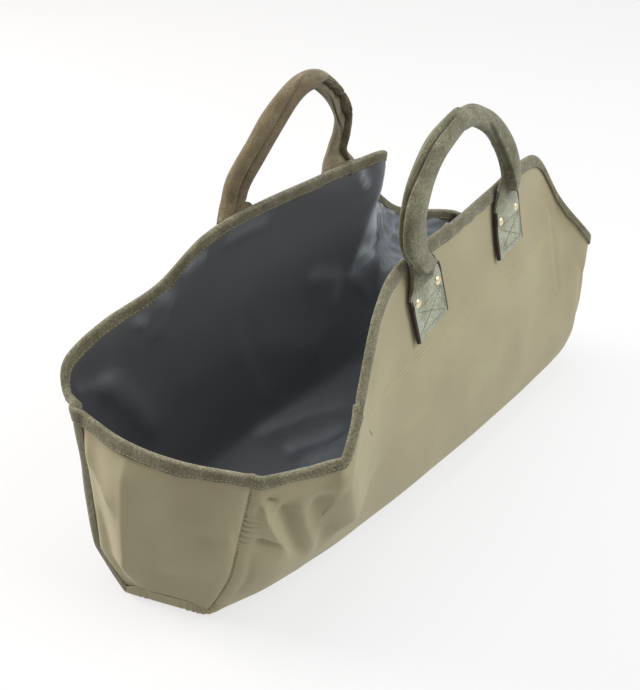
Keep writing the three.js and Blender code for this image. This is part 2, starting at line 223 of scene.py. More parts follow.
def feed(tree, node, inputs):
    for name, value in inputs.items():
        if isinstance(value, bpy.types.NodeSocket):
            tree.links.new(value, node.inputs[name])
        else:
            node.inputs[name].default_value = value


def addNode(tree, kind, inputs, **settings):
    node = tree.nodes.new("ShaderNode" + kind)
    for name, value in settings.items():
        setattr(node, name, value)
    feed(tree, node, inputs)
    return node.outputs


def newMaterial(name, *grains):  # each grain is the size in mm, detail and roughness of a soft noise
    material = bpy.data.materials.new(name)
    material.use_nodes = True
    tree = material.node_tree
    solid = addNode(tree, "TexCoord", {})["Object"]
    noises = [addNode(tree, "TexNoise", {
        "Vector": solid, "Scale": 1 / (size * mm), "Detail": detail, "Roughness": rough})["Fac"]
        for size, detail, rough in grains]
    return material, tree, tree.nodes["Principled BSDF"], noises


# Waxed cotton canvas: a dull olive cloth with a fine plain weave, slightly cloudy where the wax lies thicker
# and paler where folds are rubbed. The weave is drawn at twice its real spacing so that it shows.
waxedCanvas = {
    "olive": "#979173", "brown": "#8f876a", "rub": "#a9a186", "threadSpacing": 1.1, "cloud": 70,
    "fibre": 1.4, "roughness": (0.6, 0.75), "weaveDepth": 0.09,
}


def makeCanvas():
    s = waxedCanvas
    grains = (s["cloud"], 5, 0.5), (s["fibre"], 3, 0.5)
    material, tree, shader, (clouds, fibres) = newMaterial("waxedCanvas", *grains)
    patchy = addNode(tree, "MapRange", {"Value": clouds, "From Min": 0.35, "From Max": 0.65})[0]
    ground = addNode(tree, "Mix", {0: patchy, 6: linear(s["olive"]), 7: linear(s["brown"])},
                     data_type="RGBA")[2]
    speck = addNode(tree, "MapRange", {
        "Value": fibres, "From Min": 0.3, "From Max": 0.7, "To Min": 0.95, "To Max": 1.05})[0]
    flecked = addNode(tree, "Mix", {0: 1.0, 6: ground, 7: speck}, data_type="RGBA", blend_type="MULTIPLY")[2]
    rubbed = addNode(tree, "Attribute", {}, attribute_name="rub")["Fac"]
    worn = addNode(tree, "Mix", {0: rubbed, 6: flecked, 7: linear(s["rub"])}, data_type="RGBA")[2]
    low, high = s["roughness"]
    dull = addNode(tree, "MapRange", {
        "Value": clouds, "From Min": 0.3, "From Max": 0.7, "To Min": high, "To Max": low})[0]
    period = math.pi / 10 / (s["threadSpacing"] * mm)  # a band repeats every pi / 10 of its scaled length
    cloth = addNode(tree, "TexCoord", {})["UV"]
    warp, weft = (addNode(tree, "TexWave", {
        "Vector": cloth, "Scale": period, "Distortion": 0.6, "Detail": 1.0}, bands_direction=way)["Fac"]
        for way in "XY")
    weave = addNode(tree, "Math", {0: warp, 1: weft}, operation="MULTIPLY")[0]
    bump = addNode(tree, "Bump", {"Height": weave, "Strength": 0.5, "Distance": s["weaveDepth"] * mm})[0]
    feed(tree, shader, {"Base Color": worn, "Roughness": dull, "Normal": bump, "Sheen Weight": 0.1,
                        "Specular IOR Level": 0.3})
    return material


# Coated lining cloth: a smooth charcoal skin on a tight weave, with a soft sheen that picks out each crumple,
# and a pale grey-blue painted highlight mixed in as painted light on crumples, the far corner, the wall and
# the floor.
coatedLining = {"dark": "#3a3b3e", "light": "#464749", "bloom": "#b6c0c4", "cloud": 70, "pebble": 2.2,
                "roughness": (0.44, 0.58), "pebbleDepth": 0.1}


def makeLining():
    s = coatedLining
    grains = (s["cloud"], 4, 0.5), (s["pebble"], 2, 0.5)
    material, tree, shader, (clouds, pebble) = newMaterial("coatedLining", *grains)
    ground = addNode(tree, "Mix", {0: clouds, 6: linear(s["dark"]), 7: linear(s["light"])},
                     data_type="RGBA")[2]
    # the rub attribute here carries painted light: pale painted highlights laid on the lining's colour
    creased = addNode(tree, "Attribute", {}, attribute_name="rub")["Fac"]
    paintedLit = addNode(tree, "Mix", {0: creased, 6: ground, 7: linear(s["bloom"])}, data_type="RGBA")[2]
    low, high = s["roughness"]
    gloss = addNode(tree, "MapRange", {
        "Value": clouds, "From Min": 0.3, "From Max": 0.7, "To Min": low, "To Max": high})[0]
    bump = addNode(tree, "Bump", {"Height": pebble, "Strength": 0.25, "Distance": s["pebbleDepth"] * mm})[0]
    feed(tree, shader, {"Base Color": paintedLit, "Roughness": gloss, "Normal": bump})
    return material


# Split suede: a grey-green nap with fine darker flecks where the fibres lie the other way, paler where it is
# pressed flat on the tabs, and painted paler as painted light on the binding's top and the back handle's
# bend.
suedeFinish = {
    "handleSuede": {"fleck": "#4d4c3b", "nap": "#84846b", "warm": "#63604b", "pressed": "#acb19d"},
    "tanSuede": {"fleck": "#574d3b", "nap": "#7b7055", "warm": "#675c45", "pressed": "#94907a"},
    "bindingSuede": {"fleck": "#4a4737", "nap": "#827f68", "warm": "#6a6650", "pressed": "#9e9c84"},
}
suedeGrain = {"grain": 1.5, "patch": 16, "contrast": (0.36, 0.62), "bumpDepth": 0.35, "blotch": -0.5,
              "calm": 0.6}


def makeSuede(name):
    s = {**suedeGrain, **suedeFinish[name]}
    material, tree, shader, (grains, patches) = newMaterial(name, (s["grain"], 4, 0.7), (s["patch"], 5, 0.6))
    low, high = s["contrast"]
    fleck = addNode(tree, "MapRange", {"Value": grains, "From Min": low, "From Max": high})[0]
    warmth = addNode(tree, "MapRange", {"Value": patches, "From Min": 0.38, "From Max": 0.62})[0]
    nap = addNode(tree, "Mix", {0: warmth, 6: linear(s["nap"]), 7: linear(s["warm"])}, data_type="RGBA")[2]
    # rub here is pressed nap on the tabs, and painted light on the binding's top and the back handle's bend
    pressedAndPaintedShare = addNode(tree, "Attribute", {}, attribute_name="rub")["Fac"]
    blotch = addNode(tree, "Math", {0: warmth, 1: s["blotch"], 2: 1.0}, operation="MULTIPLY_ADD")[0]
    flat = addNode(tree, "Math", {0: pressedAndPaintedShare, 1: blotch}, operation="MULTIPLY")[0]
    pressed = addNode(tree, "Mix", {0: flat, 6: nap, 7: linear(s["pressed"])}, data_type="RGBA")[2]
    calmed = addNode(tree, "Math", {0: pressedAndPaintedShare, 1: s["calm"]}, operation="MULTIPLY")[0]
    fewer = addNode(tree, "Math", {0: fleck, 1: calmed}, operation="MAXIMUM")[0]
    flecked = addNode(tree, "Mix", {0: fewer, 6: linear(s["fleck"]), 7: pressed}, data_type="RGBA")[2]
    bump = addNode(tree, "Bump", {"Height": grains, "Strength": 0.5, "Distance": s["bumpDepth"] * mm})[0]
    feed(tree, shader, {"Base Color": flecked, "Normal": bump, "Roughness": 0.95, "Sheen Weight": 0.2,
                        "Specular IOR Level": 0.15})
    return material


def makeFlecked(name, dark, light, size, detail, inputs):  # two tones in fine flecks of one size
    material, tree, shader, (flecks,) = newMaterial(name, (size, detail, 0.5))
    tone = addNode(tree, "Mix", {0: flecks, 6: linear(dark), 7: linear(light)}, data_type="RGBA")[2]
    feed(tree, shader, {"Base Color": tone, **inputs})
    return material, tree, shader, flecks


# Painted shade on a strap's side: a near-black flecked tone for the tab's edge and the gap under it, which
# lie in shade.
cutEdge = makeFlecked("cutEdge", "#1d1912", "#3a3325", 1.5, 3, {"Roughness": 0.9})[0]

# Polished brass cap: pale gold, slightly scuffed.
polished = {"Metallic": 1}
brass, brassTree, brassShader, scuffs = makeFlecked("polishedBrass", "#d8c48a", "#f6edd0", 1.2, 4, polished)
scuffed = addNode(brassTree, "MapRange", {"Value": scuffs, "To Min": 0.2, "To Max": 0.4})[0]
feed(brassTree, brassShader, {"Roughness": scuffed})

# Spun thread: a matte twisted yarn.
threadTones = {"bindingThread": ("#79755b", "#928e74"), "panelThread": ("#a99f78", "#c0b68f"),
               "seamThread": ("#4f4534", "#6d614a"), "tabThread": ("#565b49", "#6d725e")}
thread = {name: makeFlecked(name, *tones, 0.8, 2, {"Roughness": 0.85})[0]
          for name, tones in threadTones.items()}

canvas = makeCanvas()
lining = makeLining()
suede = {name: makeSuede(name) for name in suedeFinish}
print("materials made")


# The cut of the bag. Sizes in mm, one row for each section from the near end to the far end:
# rimX, rimY, rimZ, kneeY, kneeZ, footX, footY, round
frontSide = [
    [-273, -87, 179, -63, 62, -284, -31, 0.14],
    [-246, -102, 178, -88, 62, -252, -42, 0.24],
    [-211, -122, 182, -102, 70, -214, -52, 0.32],
    [-178, -115, 229, -111, 75, -172, -58, 0.36],
    [-133, -100, 281, -115, 77, -125, -63, 0.38],
    [-83, -89, 297, -118, 76, -75, -67, 0.40],
    [12, -82, 298, -119, 74, 5, -71, 0.40],
    [100, -72, 298, -118, 71, 90, -74, 0.40],
    [170, -64, 301, -114, 68, 150, -76, 0.38],
    [212, -62, 289, -110, 65, 203, -76, 0.36],
    [243, -78, 237, -106, 60, 250, -74, 0.32],
    [288, -97, 183, -98, 55, 296, -64, 0.26],
    [310, -64, 174, -66, 54, 314, -40, 0.16],
]
backSide = [
    [-299, 107, 179, 93, 34, -311, 53, 0.05],
    [-291, 126, 187, 108, 50, -274, 56, 0.22],
    [-276, 136, 209, 116, 62, -236, 60, 0.30],
    [-234, 129, 230, 118, 74, -190, 64, 0.36],
    [-179, 115, 248, 118, 78, -140, 66, 0.38],
    [-131, 99, 284, 116, 78, -95, 66, 0.40],
    [-60, 95, 292, 114, 78, -40, 66, 0.40],
    [25, 94, 289, 114, 78, 35, 66, 0.40],
    [95, 92, 287, 112, 78, 100, 64, 0.38],
    [147, 88, 280, 110, 76, 150, 62, 0.36],
    [165, 110, 226, 108, 72, 196, 58, 0.32],
    [220, 117, 180, 104, 64, 246, 54, 0.26],
    [288, 86, 160, 84, 58, 286, 46, 0.16],
]
# side, along, up, turn, long, wide, depth: broad folds of the body cloth
mainFolds = [
    (-1, 0.20, 0.72, -62, 60, 20, 5),
    (1, 0.72, 0.84, 68, 40, 15, -4),
    (1, 0.79, 0.64, 62, 52, 24, 7),
]
# line of (along, up) in thousandths, width and height in mm, sharpness: smaller creases, positive outwards
frontCreases = [
    ([(11, 820), (13, 875), (32, 892), (60, 878)], 4, -4.5, 1.4),
    ([(0, 930), (23, 856), (41, 785), (72, 681), (120, 540)], (7, 8), 5.5, 1.4),
    ([(60, 870), (84, 785), (102, 697), (125, 601), (160, 480)], 11, -8, 1.7),
    ([(100, 870), (112, 792), (124, 713), (145, 620), (180, 470)], 11, 4, 1.6),
    ([(135, 880), (157, 740), (187, 610), (217, 460)], 15, -8, 1.8),
    ([(167, 1020), (178, 870), (199, 737), (232, 580), (262, 420)], (60, 15), 12, 1.5),
    ([(15, 700), (45, 685), (85, 660)], 4, -3.5, 1.5),
    ([(268, 935), (290, 900), (312, 930)], 8, -3, 1.5),
    ([(12, 640), (22, 500), (20, 340)], 6, -2.6, 1.6),
    ([(785, 860), (800, 720), (812, 580)], 4, -1.2, 1.5),
    ([(830, 950), (800, 880), (770, 860)], 6, -1.6, 1.5),
    ([(900, 860), (910, 660), (930, 450)], 12, -3.5, 1.7),
    ([(950, 800), (940, 600), (950, 400)], 9, 2.5, 1.6),
    ([(520, 620), (535, 460), (550, 360)], 6, -0.9, 1.6),
    ([(630, 580), (660, 420), (680, 320)], 8, 0.9, 1.6),
]
backCreases = [
    ([(30, 1020), (40, 860), (50, 680)], 20, -9, 1.9),
    ([(20, 820), (60, 740), (110, 560)], 9, -4, 1.6),
    ([(50, 900), (100, 780), (160, 550)], 10, 3, 1.6),
    ([(330, 980), (325, 900), (300, 840)], 5, -3, 1.5),
    ([(200, 860), (240, 700), (260, 500)], 14, -4, 1.8),
    ([(825, 1060), (790, 940), (765, 830), (745, 700)], 28, 11, 2.0),
    ([(740, 660), (745, 560), (740, 450)], 15, -3, 1.7),
    ([(860, 940), (840, 760), (820, 550)], 12, 3, 1.6),
    ([(920, 880), (920, 680), (940, 450)], 10, -4, 1.6),
    ([(450, 600), (470, 440), (480, 340)], 8, -1, 1.6),
    ([(580, 660), (560, 500), (570, 360)], 9, 1, 1.6),
]
# side, low, high, end, share: short gathers across the sewn corners, low and high from the floor's middle up
gathers = [(-1, 0.66, 0.84, 0, 1), (-1, 0.05, 0.3, 0, 1), (1, 0.05, 0.14, 0, 0.6), (-1, 0.60, 0.78, 1, 1),
           (1, 0.6, 0.8, 1, 1)]
body = {
    "nearRows": 84, "farRows": 92, "nearShare": 0.27, "floorColumns": 20, "wallColumns": 104,
    "floorShare": 0.17, "floorPower": 0.6, "cornerRows": 6, "bandRows": 4, "curveSteps": 16, "span": 620,
    "sideSpan": 290, "corner": 5.5, "cornerStep": 0.014, "seamInset": 9.5, "canvas": 1.4, "lining": 1.1,
    "liningGap": 0.5, "insetSoftness": 14, "ripple": 0.32, "rippleSize": 90, "floorBand": 4.0,
    "floorBlur": 3, "cornerAlong": 2 / 12, "cornerReach": 0.07, "bandRamp": (0.004, 0.03),
    "calmRamp": (0.2, 0.2), "rubHeight": 9, "rub": 0.06, "softAngle": 50, "flat": (0.72, 0.70),
}
pleat = {"size": 7.5, "height": 0.9, "reach": 0.022, "edge": 0.03, "wander": 40}
floorUps = np.linspace(0, 1, body["floorColumns"], endpoint=False) ** body["floorPower"]  # closer at the edge
wallUps = np.linspace(body["floorShare"], 1, body["wallColumns"] + 1)
halfUps = np.concatenate([body["floorShare"] * floorUps, wallUps])
middleColumn = len(halfUps) - 1
columnUp = np.concatenate([halfUps[::-1], halfUps[1:]])
columnSide = np.where(np.arange(len(columnUp)) < middleColumn, -1, 1)


def foldDepth(folds, side, along, up):
    depth = 0
    for foldSide, foldAlong, foldUp, turn, long, wide, height in folds:
        if foldSide == side:
            a, b = math.cos(math.radians(turn)), math.sin(math.radians(turn))
            dx = (along - foldAlong) * body["span"]
            dz = (up - foldUp) * body["sideSpan"]
            depth = depth + height * bell((dx * a + dz * b) / long) * bell((dz * a - dx * b) / wide)
    return depth


def sectionCorners(side, alongs):  # middle of the floor, foot, knee, rim and roundness of each section
    front, back = rowsAt(frontSide, alongs), rowsAt(backSide, alongs)
    straight = sampled(alongs, np.linspace(0, 1, len(frontSide)), frontSide)
    sharp = bell((alongs - body["cornerAlong"]) / body["cornerReach"])[:, None]
    front = front + (straight - front) * sharp  # the low corner of the front rim is not rounded
    rimX, rimY, rimZ, kneeY, kneeZ, footX, footY, softness = (front if side < 0 else back).T
    foot = np.stack([footX, footY, 0 * footX], axis=1)
    rim = np.stack([rimX, rimY, rimZ], axis=1)
    middle = np.stack([(front[:, 5] + back[:, 5]) / 2, (front[:, 6] + back[:, 6]) / 2, 0 * footX], axis=1)
    knee = foot + (rim - foot) * (kneeZ / rimZ)[:, None]
    knee[:, 1] = kneeY
    return middle, foot, knee, rim, softness[:, None]


def halfSections(side, alongs, ups):  # from the middle of the floor up to the rim
    middle, foot, knee, rim, soft = sectionCorners(side, alongs)
    corners = [middle, (middle + foot) / 2, foot + (middle - foot) * soft, foot + (knee - foot) * soft,
               knee + (foot - knee) * soft, knee + (rim - knee) * soft, rim]
    spans = len(corners) - 2
    steps = np.arange(body["curveSteps"]) / body["curveSteps"]
    line = []
    for k in range(spans):
        start = corners[0] if k == 0 else (corners[k] + corners[k + 1]) / 2
        end = corners[-1] if k == spans - 1 else (corners[k + 1] + corners[k + 2]) / 2
        line += [bent(f, start, corners[k + 1], end) for f in steps]
    points = []
    for curve in np.stack(line + [rim], axis=1):
        run = runLength(curve)
        points.append(sampled(ups, run / run[-1], curve))
    points = np.stack(points)
    points[:, :, 1] += side * foldDepth(mainFolds, side, alongs[:, None], ups[None, :])
    return points


def fullSections(alongs):  # from the front rim under the floor to the back rim
    alongs = np.atleast_1d(np.asarray(alongs, float))
    frontHalf, backHalf = (halfSections(side, alongs, halfUps) for side in (-1, 1))
    return np.concatenate([frontHalf[:, ::-1], backHalf[:, 1:]], axis=1)


def endFrame(along, facing):  # an end's outline, the ways into it and the way it faces
    outline = fullSections(along)[0]
    out = unit(np.cross(outline[-1] - outline[0], [0, 0, 1])) * facing
    inward = unit(np.cross(np.gradient(outline, axis=0), out) * -facing)
    spacing = runLength(outline)[-1] / len(outline)
    return outline, unit(blurred(inward, body["insetSoftness"] / spacing)), out


# Ends. A fold is across, up, lean, wide, tall and depth. A crease is a line of (across, up) in thousandths,
# width, height and sharpness.
ends = {
    "near": {"along": 0, "facing": -1, "bulge": 7, "sag": 9,
             "folds": [(0.55, 0.55, 0.25, 0.2, 0.55, 6), (-0.75, 0.55, -0.1, 0.2, 0.4, -3)],
             "creases": [
                 ([(1060, 900), (860, 790), (680, 710), (420, 580)], (16, 9), 4.5, 1.1),
                 ([(310, 1200), (340, 850), (360, 600), (410, 300), (490, 0)], (34, 30), 12, 1.25),
                 ([(840, 560), (720, 340), (620, 120)], 10, -2.5, 1.5),
                 ([(-100, 800), (-250, 500), (-300, 250)], 22, 2.0, 1.8),
                 ([(-960, 600), (-720, 560), (-450, 620)], 10, -2.4, 1.5)]},
    "far": {"along": 1, "facing": 1, "bulge": 6, "sag": 8, "folds": [(-0.4, 0.6, 0.2, 0.22, 0.5, 5)],
            "creases": [
                ([(-900, 950), (-620, 600), (-400, 200)], 10, 3.5, 1.3),
                ([(880, 950), (600, 620), (450, 250)], 12, 3.0, 1.4),
                ([(50, 850), (100, 500), (20, 200)], 16, -2.5, 1.7)]},
}
for end in ends.values():
    end["outline"], end["inward"], end["out"] = endFrame(end["along"], end["facing"])


def turnedRows(end):  # the band that turns in on to an end, then round its corner to the side
    side = fullSections(end["along"] - end["facing"] * body["cornerStep"])[0]
    face = end["outline"] + end["inward"] * body["corner"]
    deeper = blurred(body["floorBand"] * (columnUp < body["floorShare"]), body["floorBlur"])
    rows = []
    for f in np.linspace(1, 0, body["bandRows"])[:-1]:
        inset = body["corner"] + f * (body["seamInset"] - body["corner"] + deeper)
        rows.append(end["outline"] + end["inward"] * inset[:, None])
    rows += [bent(f, face, end["outline"], side) for f in np.linspace(0, 1, body["cornerRows"] + 1)]
    return np.stack(rows)


def bodyGrid():
    step = body["cornerStep"]
    alongs = np.concatenate([np.linspace(step, body["nearShare"], body["nearRows"], endpoint=False),
                             np.linspace(body["nearShare"], 1 - step, body["farRows"])])
    near, far = turnedRows(ends["near"]), turnedRows(ends["far"])
    points = np.concatenate([near, fullSections(alongs[1:-1]), far[::-1]])
    turned = np.linspace(-step, step, len(near))
    return points, np.concatenate([turned, alongs[1:-1], 1 - turned[::-1]])


bodyPoints, bodyAlong = bodyGrid()
bodyRun = runLength(bodyPoints[:, middleColumn])
bodyHeight = runLength(bodyPoints[len(bodyPoints) // 2])
bodyUV = np.stack(np.meshgrid(bodyRun, bodyHeight, indexing="ij"), axis=2)
bodyOut = gridNormals(bodyPoints)
flatAlong, flatUp = (bodyAlong * body["span"])[:, None], (columnUp * body["sideSpan"])[None, :]


def bodyCreases(creases):
    return creaseDepth(inMillimetres(creases, body["span"], body["sideSpan"]), flatAlong, flatUp)


def pleats(side, low, high, end):
    reach = np.abs(bodyAlong - end)[:, None] / pleat["reach"]
    place = np.where(columnSide == side, columnUp, -1)[None, :]
    inside = smooth((place - low) / pleat["edge"]) * smooth((high - place) / pleat["edge"])
    lean = flatUp * 2 * math.pi / pleat["size"] + ripple(flatUp, 0 * flatUp, pleat["wander"], 8)
    return pleat["height"] * inside * bell(reach) * np.sin(lean)


onFront = (columnSide < 0)[None, :]
creased = np.where(onFront, bodyCreases(frontCreases), bodyCreases(backCreases))
fromEnd = np.minimum(bodyAlong, 1 - bodyAlong)
offBand = ramp(fromEnd, *body["bandRamp"])[:, None]
calm = ramp(columnUp, *body["calmRamp"])[None, :]  # the floor lies flat
wave = body["ripple"] * ripple(bodyUV[..., 0], bodyUV[..., 1], body["rippleSize"], 3)
gathered = sum(share * pleats(side, low, high, end) for side, low, high, end, share in gathers)
bodyPoints = bodyPoints + bodyOut * ((creased * offBand + wave) * calm)[..., None]
bodyPoints = bodyPoints + bodyOut * (1, 1, 0) * gathered[..., None]  # gathers stand out level
bodyOut = gridNormals(bodyPoints)


def bodyCut():  # flat area of the body cloth: its sections without folds, and the bands turned in
    rows = np.linspace(0, 1, len(frontSide))
    front, back = (sectionCorners(side, rows)[:4] for side in (-1, 1))
    net = np.stack([*front[::-1], *back[1:]], axis=1) * mm
    bands = (runLength(net[0])[-1] + runLength(net[-1])[-1]) * body["seamInset"] * mm
    return gridArea(net) + bands


def addSheet(name, points, uv, kind, node, area, rub):
    # rub is crease wear on the canvas and painted light on the lining
    material = canvas if kind == "canvas" else lining
    piece = meshPiece(name, points * mm, gridFaces(*points.shape[:2]), uv * mm, {"rub": rub})
    thicken(piece, body[kind] * mm)
    softEdges(piece, body["softAngle"])
    dress(piece, material, kind, node)
    return piece


bodyRub = smooth(creased * offBand / body["rubHeight"]) * body["rub"]
bodyCanvas = addSheet("bodyCanvas", bodyPoints, bodyUV, "canvas", "body_canvas", bodyCut(),
                      bodyRub)
bodyCanvas.data.materials.append(suede["bindingSuede"])  # the back edge of the near end is bound in suede
for i in range(body["bandRows"] + body["cornerRows"] - 2):
    for j in np.flatnonzero((columnSide > 0) & (columnUp > body["floorShare"]))[:-1]:
        bodyCanvas.data.polygons[i * (len(columnUp) - 1) + int(j)].material_index = 1

# Crumples of the lining: line of (along, up) in thousandths, width, height in mm inwards, sharpness, painted
# light (a painted highlight along the crumple, painted shade where negative)
liningFolds = [
    ([(740, 1040), (711, 900), (695, 840), (685, 765), (669, 685), (645, 610)], (24, 7), 4, 1.1, 0.1),
    ([(620, 520), (648, 620), (690, 560), (730, 460)], 6, 3, 1.3, 0.1),
    ([(570, 700), (610, 660), (645, 625)], (6, 9), 3, 1.3, 0.1),
    ([(672, 985), (682, 935), (700, 890)], (5, 3), 2, 1.3, 0.5),
    ([(708, 810), (715, 750), (740, 700)], 10, 2.5, 1.5, 0.55),
    ([(682, 700), (700, 665), (735, 630)], 8, 2.5, 1.4, 0.5),
    ([(718, 830), (800, 885), (875, 925)], (12, 7), 2, 1.4, 0.3),
    ([(720, 745), (750, 700), (800, 740)], 6, -2.5, 1.3, -0.3),
    ([(740, 800), (790, 800), (850, 770)], 5, -2, 1.3, -0.25),
    ([(285, 955), (309, 912)], 4, 3, 1.3, 0.12),
    ([(145, 904), (185, 856), (258, 792)], (6, 10), 2, 1.3, 0.03),
    ([(330, 975), (345, 940), (340, 900)], 5, 3, 1.3, 0.08),
    ([(375, 970), (420, 955)], 4, 2.5, 1.4, 0.25),
    ([(440, 955), (520, 940)], 6, 2.5, 1.4, 0.06),
    ([(420, 280), (514, 250), (545, 226), (600, 180)], (7, 18), 8, 1.2, 0.06),
    ([(450, 175), (475, 170), (514, 146), (560, 130)], (5, 12), 6, 1.2, 0.08),
    ([(450, 100), (482, 97), (522, 85)], (6, 12), 6, 1.2, 0.08),
    ([(470, 580), (550, 480), (600, 400)], 18, 3, 1.7, 0.0),
    ([(300, 660), (400, 580), (480, 600)], 24, 3, 1.8, 0.0),
]
# The far corner is creased beyond a line that leans from foldAlong at foldUp, and painted lighter there as a
# painted highlight. A ramp is where a change starts and over what share it runs.
slackLining = {
    "size": 90, "depth": 0.8, "unevenness": 0.4, "crumple": 34, "crumpleDepth": 1.1, "crumpleAll": 0.15,
    "columnStep": 2, "foldAlong": 0.648, "foldUp": 0.6, "foldLean": 0.24, "foldEdge": 0.014,
    "foldRamp": (0.56, 0.12), "rimHold": 0.06, "tightAlong": 0.79, "tightReach": 0.05,
    "tightRamp": (0.62, 0.12),
}
liningPaintedLight = {
    "width": 0.9, "fold": 0.4, "foldLeast": 0.5, "wall": 0.07, "wallRamp": (0.15, 0.25), "floor": 0.10,
    "floorTop": 0.32, "floorOver": 0.2, "besideRamp": (0.63, 0.02), "besideTop": 0.9, "besideOver": 0.05,
    "besideDim": 0.8, "most": 0.95,
}


def liningShape():  # how far the lining stands in from the canvas, and its painted light
    s, b = slackLining, liningPaintedLight
    folds = bodyCreases([fold[:4] for fold in liningFolds])
    # painted highlights along the crumples listed in the lining table
    bloom = sum(bodyCreases([(line, np.multiply(width, b["width"]), share, sharp)])
                for line, width, height, sharp, share in liningFolds)
    away = ripple(bodyUV[..., 0], bodyUV[..., 1], s["size"], 21)
    crumple = ridged(bodyUV[..., 0], bodyUV[..., 1], s["crumple"], 22)
    foldEdge = s["foldAlong"] + s["foldLean"] * (columnUp - s["foldUp"])
    farCorner = ramp(bodyAlong[:, None], foldEdge[None, :], s["foldEdge"]) * (columnSide > 0)[None, :]
    farCorner = farCorner * ramp(columnUp, *s["foldRamp"])[None, :]
    slack = np.where(onFront, 0, folds) * offBand + s["depth"] * (1 + s["unevenness"] * away)
    slack = slack + s["crumpleDepth"] * (s["crumpleAll"] + farCorner) * crumple
    slack = slack * smooth((1 - columnUp) / s["rimHold"])[None, :]
    tight = bell((bodyAlong - s["tightAlong"]) / s["tightReach"])[:, None]
    tight = tight * ramp(columnUp, *s["tightRamp"])[None, :]  # drawn flat round the far tip
    slack = np.maximum(slack, 0) * offBand * (1 - tight)
    # left of the far fold line the painted light is dimmed: painted shade where that part lies in shade
    beside = ramp(bodyAlong, *b["besideRamp"])[:, None] * (1 - farCorner)
    beside = beside * smooth((b["besideTop"] - columnUp) / b["besideOver"])[None, :]
    bloom = np.where(onFront, 0, bloom) * (1 - b["besideDim"] * beside)
    # painted highlight over the far corner's crumples
    bloom = bloom + b["fold"] * farCorner * (b["foldLeast"] + smooth(crumple / 2))
    # painted light lifting the far wall and the floor of the lining
    bloom = bloom + b["wall"] * ramp(bodyAlong, *b["wallRamp"])[:, None]
    bloom = bloom + b["floor"] * smooth((b["floorTop"] - columnUp) / b["floorOver"])[None, :]
    return slack, np.clip(bloom, 0, b["most"])


slack, bloom = liningShape()
liningPoints = bodyPoints - bodyOut * (body["canvas"] + body["liningGap"] + slack)[..., None]
step = slackLining["columnStep"]
addSheet("bodyLining", liningPoints[:, ::step], bodyUV[:, ::step], "lining", "body_lining",
         bodyCut(), bloom[:, ::step])
print("body made")


# End panels
panel = {
    "rows": 80, "columns": 84, "floorShare": 0.169, "bulgeTop": 0.67, "lap": 3.2, "lapRamp": (0.02, 0.05),
    "lift": 1.7, "liftFade": 0.14, "liftReach": 5, "lapReach": 3, "tuck": 3.0, "recess": -3.0,
    "halfWidth": 90, "height": 150, "sideHold": 0.12, "floorHold": 0.08, "rimHold": (1.05, 0.25),
    "flat": (0.22, 0.19), "crumple": 46, "crumpleDepth": 2.0, "crumpleRim": 25, "crumpleSide": 12,
    "bloomFrom": 0.6, "bloom": 0.05, "rubHeight": 8, "rub": 0.15,
}


def endGrid(end):
    s = panel
    t = np.linspace(0, 1, s["rows"])
    r = np.linspace(-1, 1, s["columns"])
    ups = s["floorShare"] + (1 - s["floorShare"]) * t
    lap = ramp(t, *s["lapRamp"])  # the front edge laps over the band, the others lie under it
    frontInset = body["seamInset"] - np.where(lap > 0.5, s["lap"], s["tuck"])
    backInset = body["seamInset"] - s["tuck"] + 0 * t
    outline, inward = end["outline"], end["inward"]
    column, index = np.interp(ups, halfUps, np.arange(len(halfUps))), np.arange(len(outline))
    edges = ((middleColumn - column, frontInset), (middleColumn + column, backInset))
    front, back = (sampled(place, index, outline) + sampled(place, index, inward) * inset[:, None]
                   for place, inset in edges)
    points = front[:, None] + (back - front)[:, None] * ((r + 1) / 2)[None, :, None]
    t, r, lap = t[:, None], r[None, :], lap[:, None]
    free = ((1 - r * r) * np.sin(np.pi / 2 * np.minimum(t / s["bulgeTop"], 1))) ** 2
    push = end["bulge"] + 0 * r
    for foldR, foldT, lean, wide, tall, depth in end["folds"]:
        push = push + depth * bell((r - foldR - lean * (t - foldT)) / wide) * bell((t - foldT) / tall)
    u, v = r * s["halfWidth"], t * s["height"]
    rimTop, rimFade = s["rimHold"]
    hold = smooth((1 - np.abs(r)) / s["sideHold"]) * smooth(t / s["floorHold"])
    hold = hold * smooth((rimTop - t) / rimFade)
    creases = inMillimetres(end["creases"], s["halfWidth"], s["height"])
    fine = creaseDepth(creases, u + 0 * v, v + 0 * u) * hold
    fromFront = (1 + r) * s["halfWidth"]
    gaps = (fromFront, (1 - r) * s["halfWidth"], v)
    byFront, byBack, byFloor = (np.exp(-gap / s["liftReach"]) for gap in gaps)
    tucked = np.maximum(byBack, byFront * (1 - lap))
    tucked = np.maximum(tucked, byFloor * (1 - np.exp(-fromFront / s["lapReach"]) * lap))
    lift = s["lift"] * byFront * lap * smooth((1 - t) / s["liftFade"]) + s["recess"] * tucked
    points = points + end["out"] * (free * push + fine + lift)[..., None]
    points[..., 2] -= end["sag"] * (1 - r * r) * t * t
    return points, fine


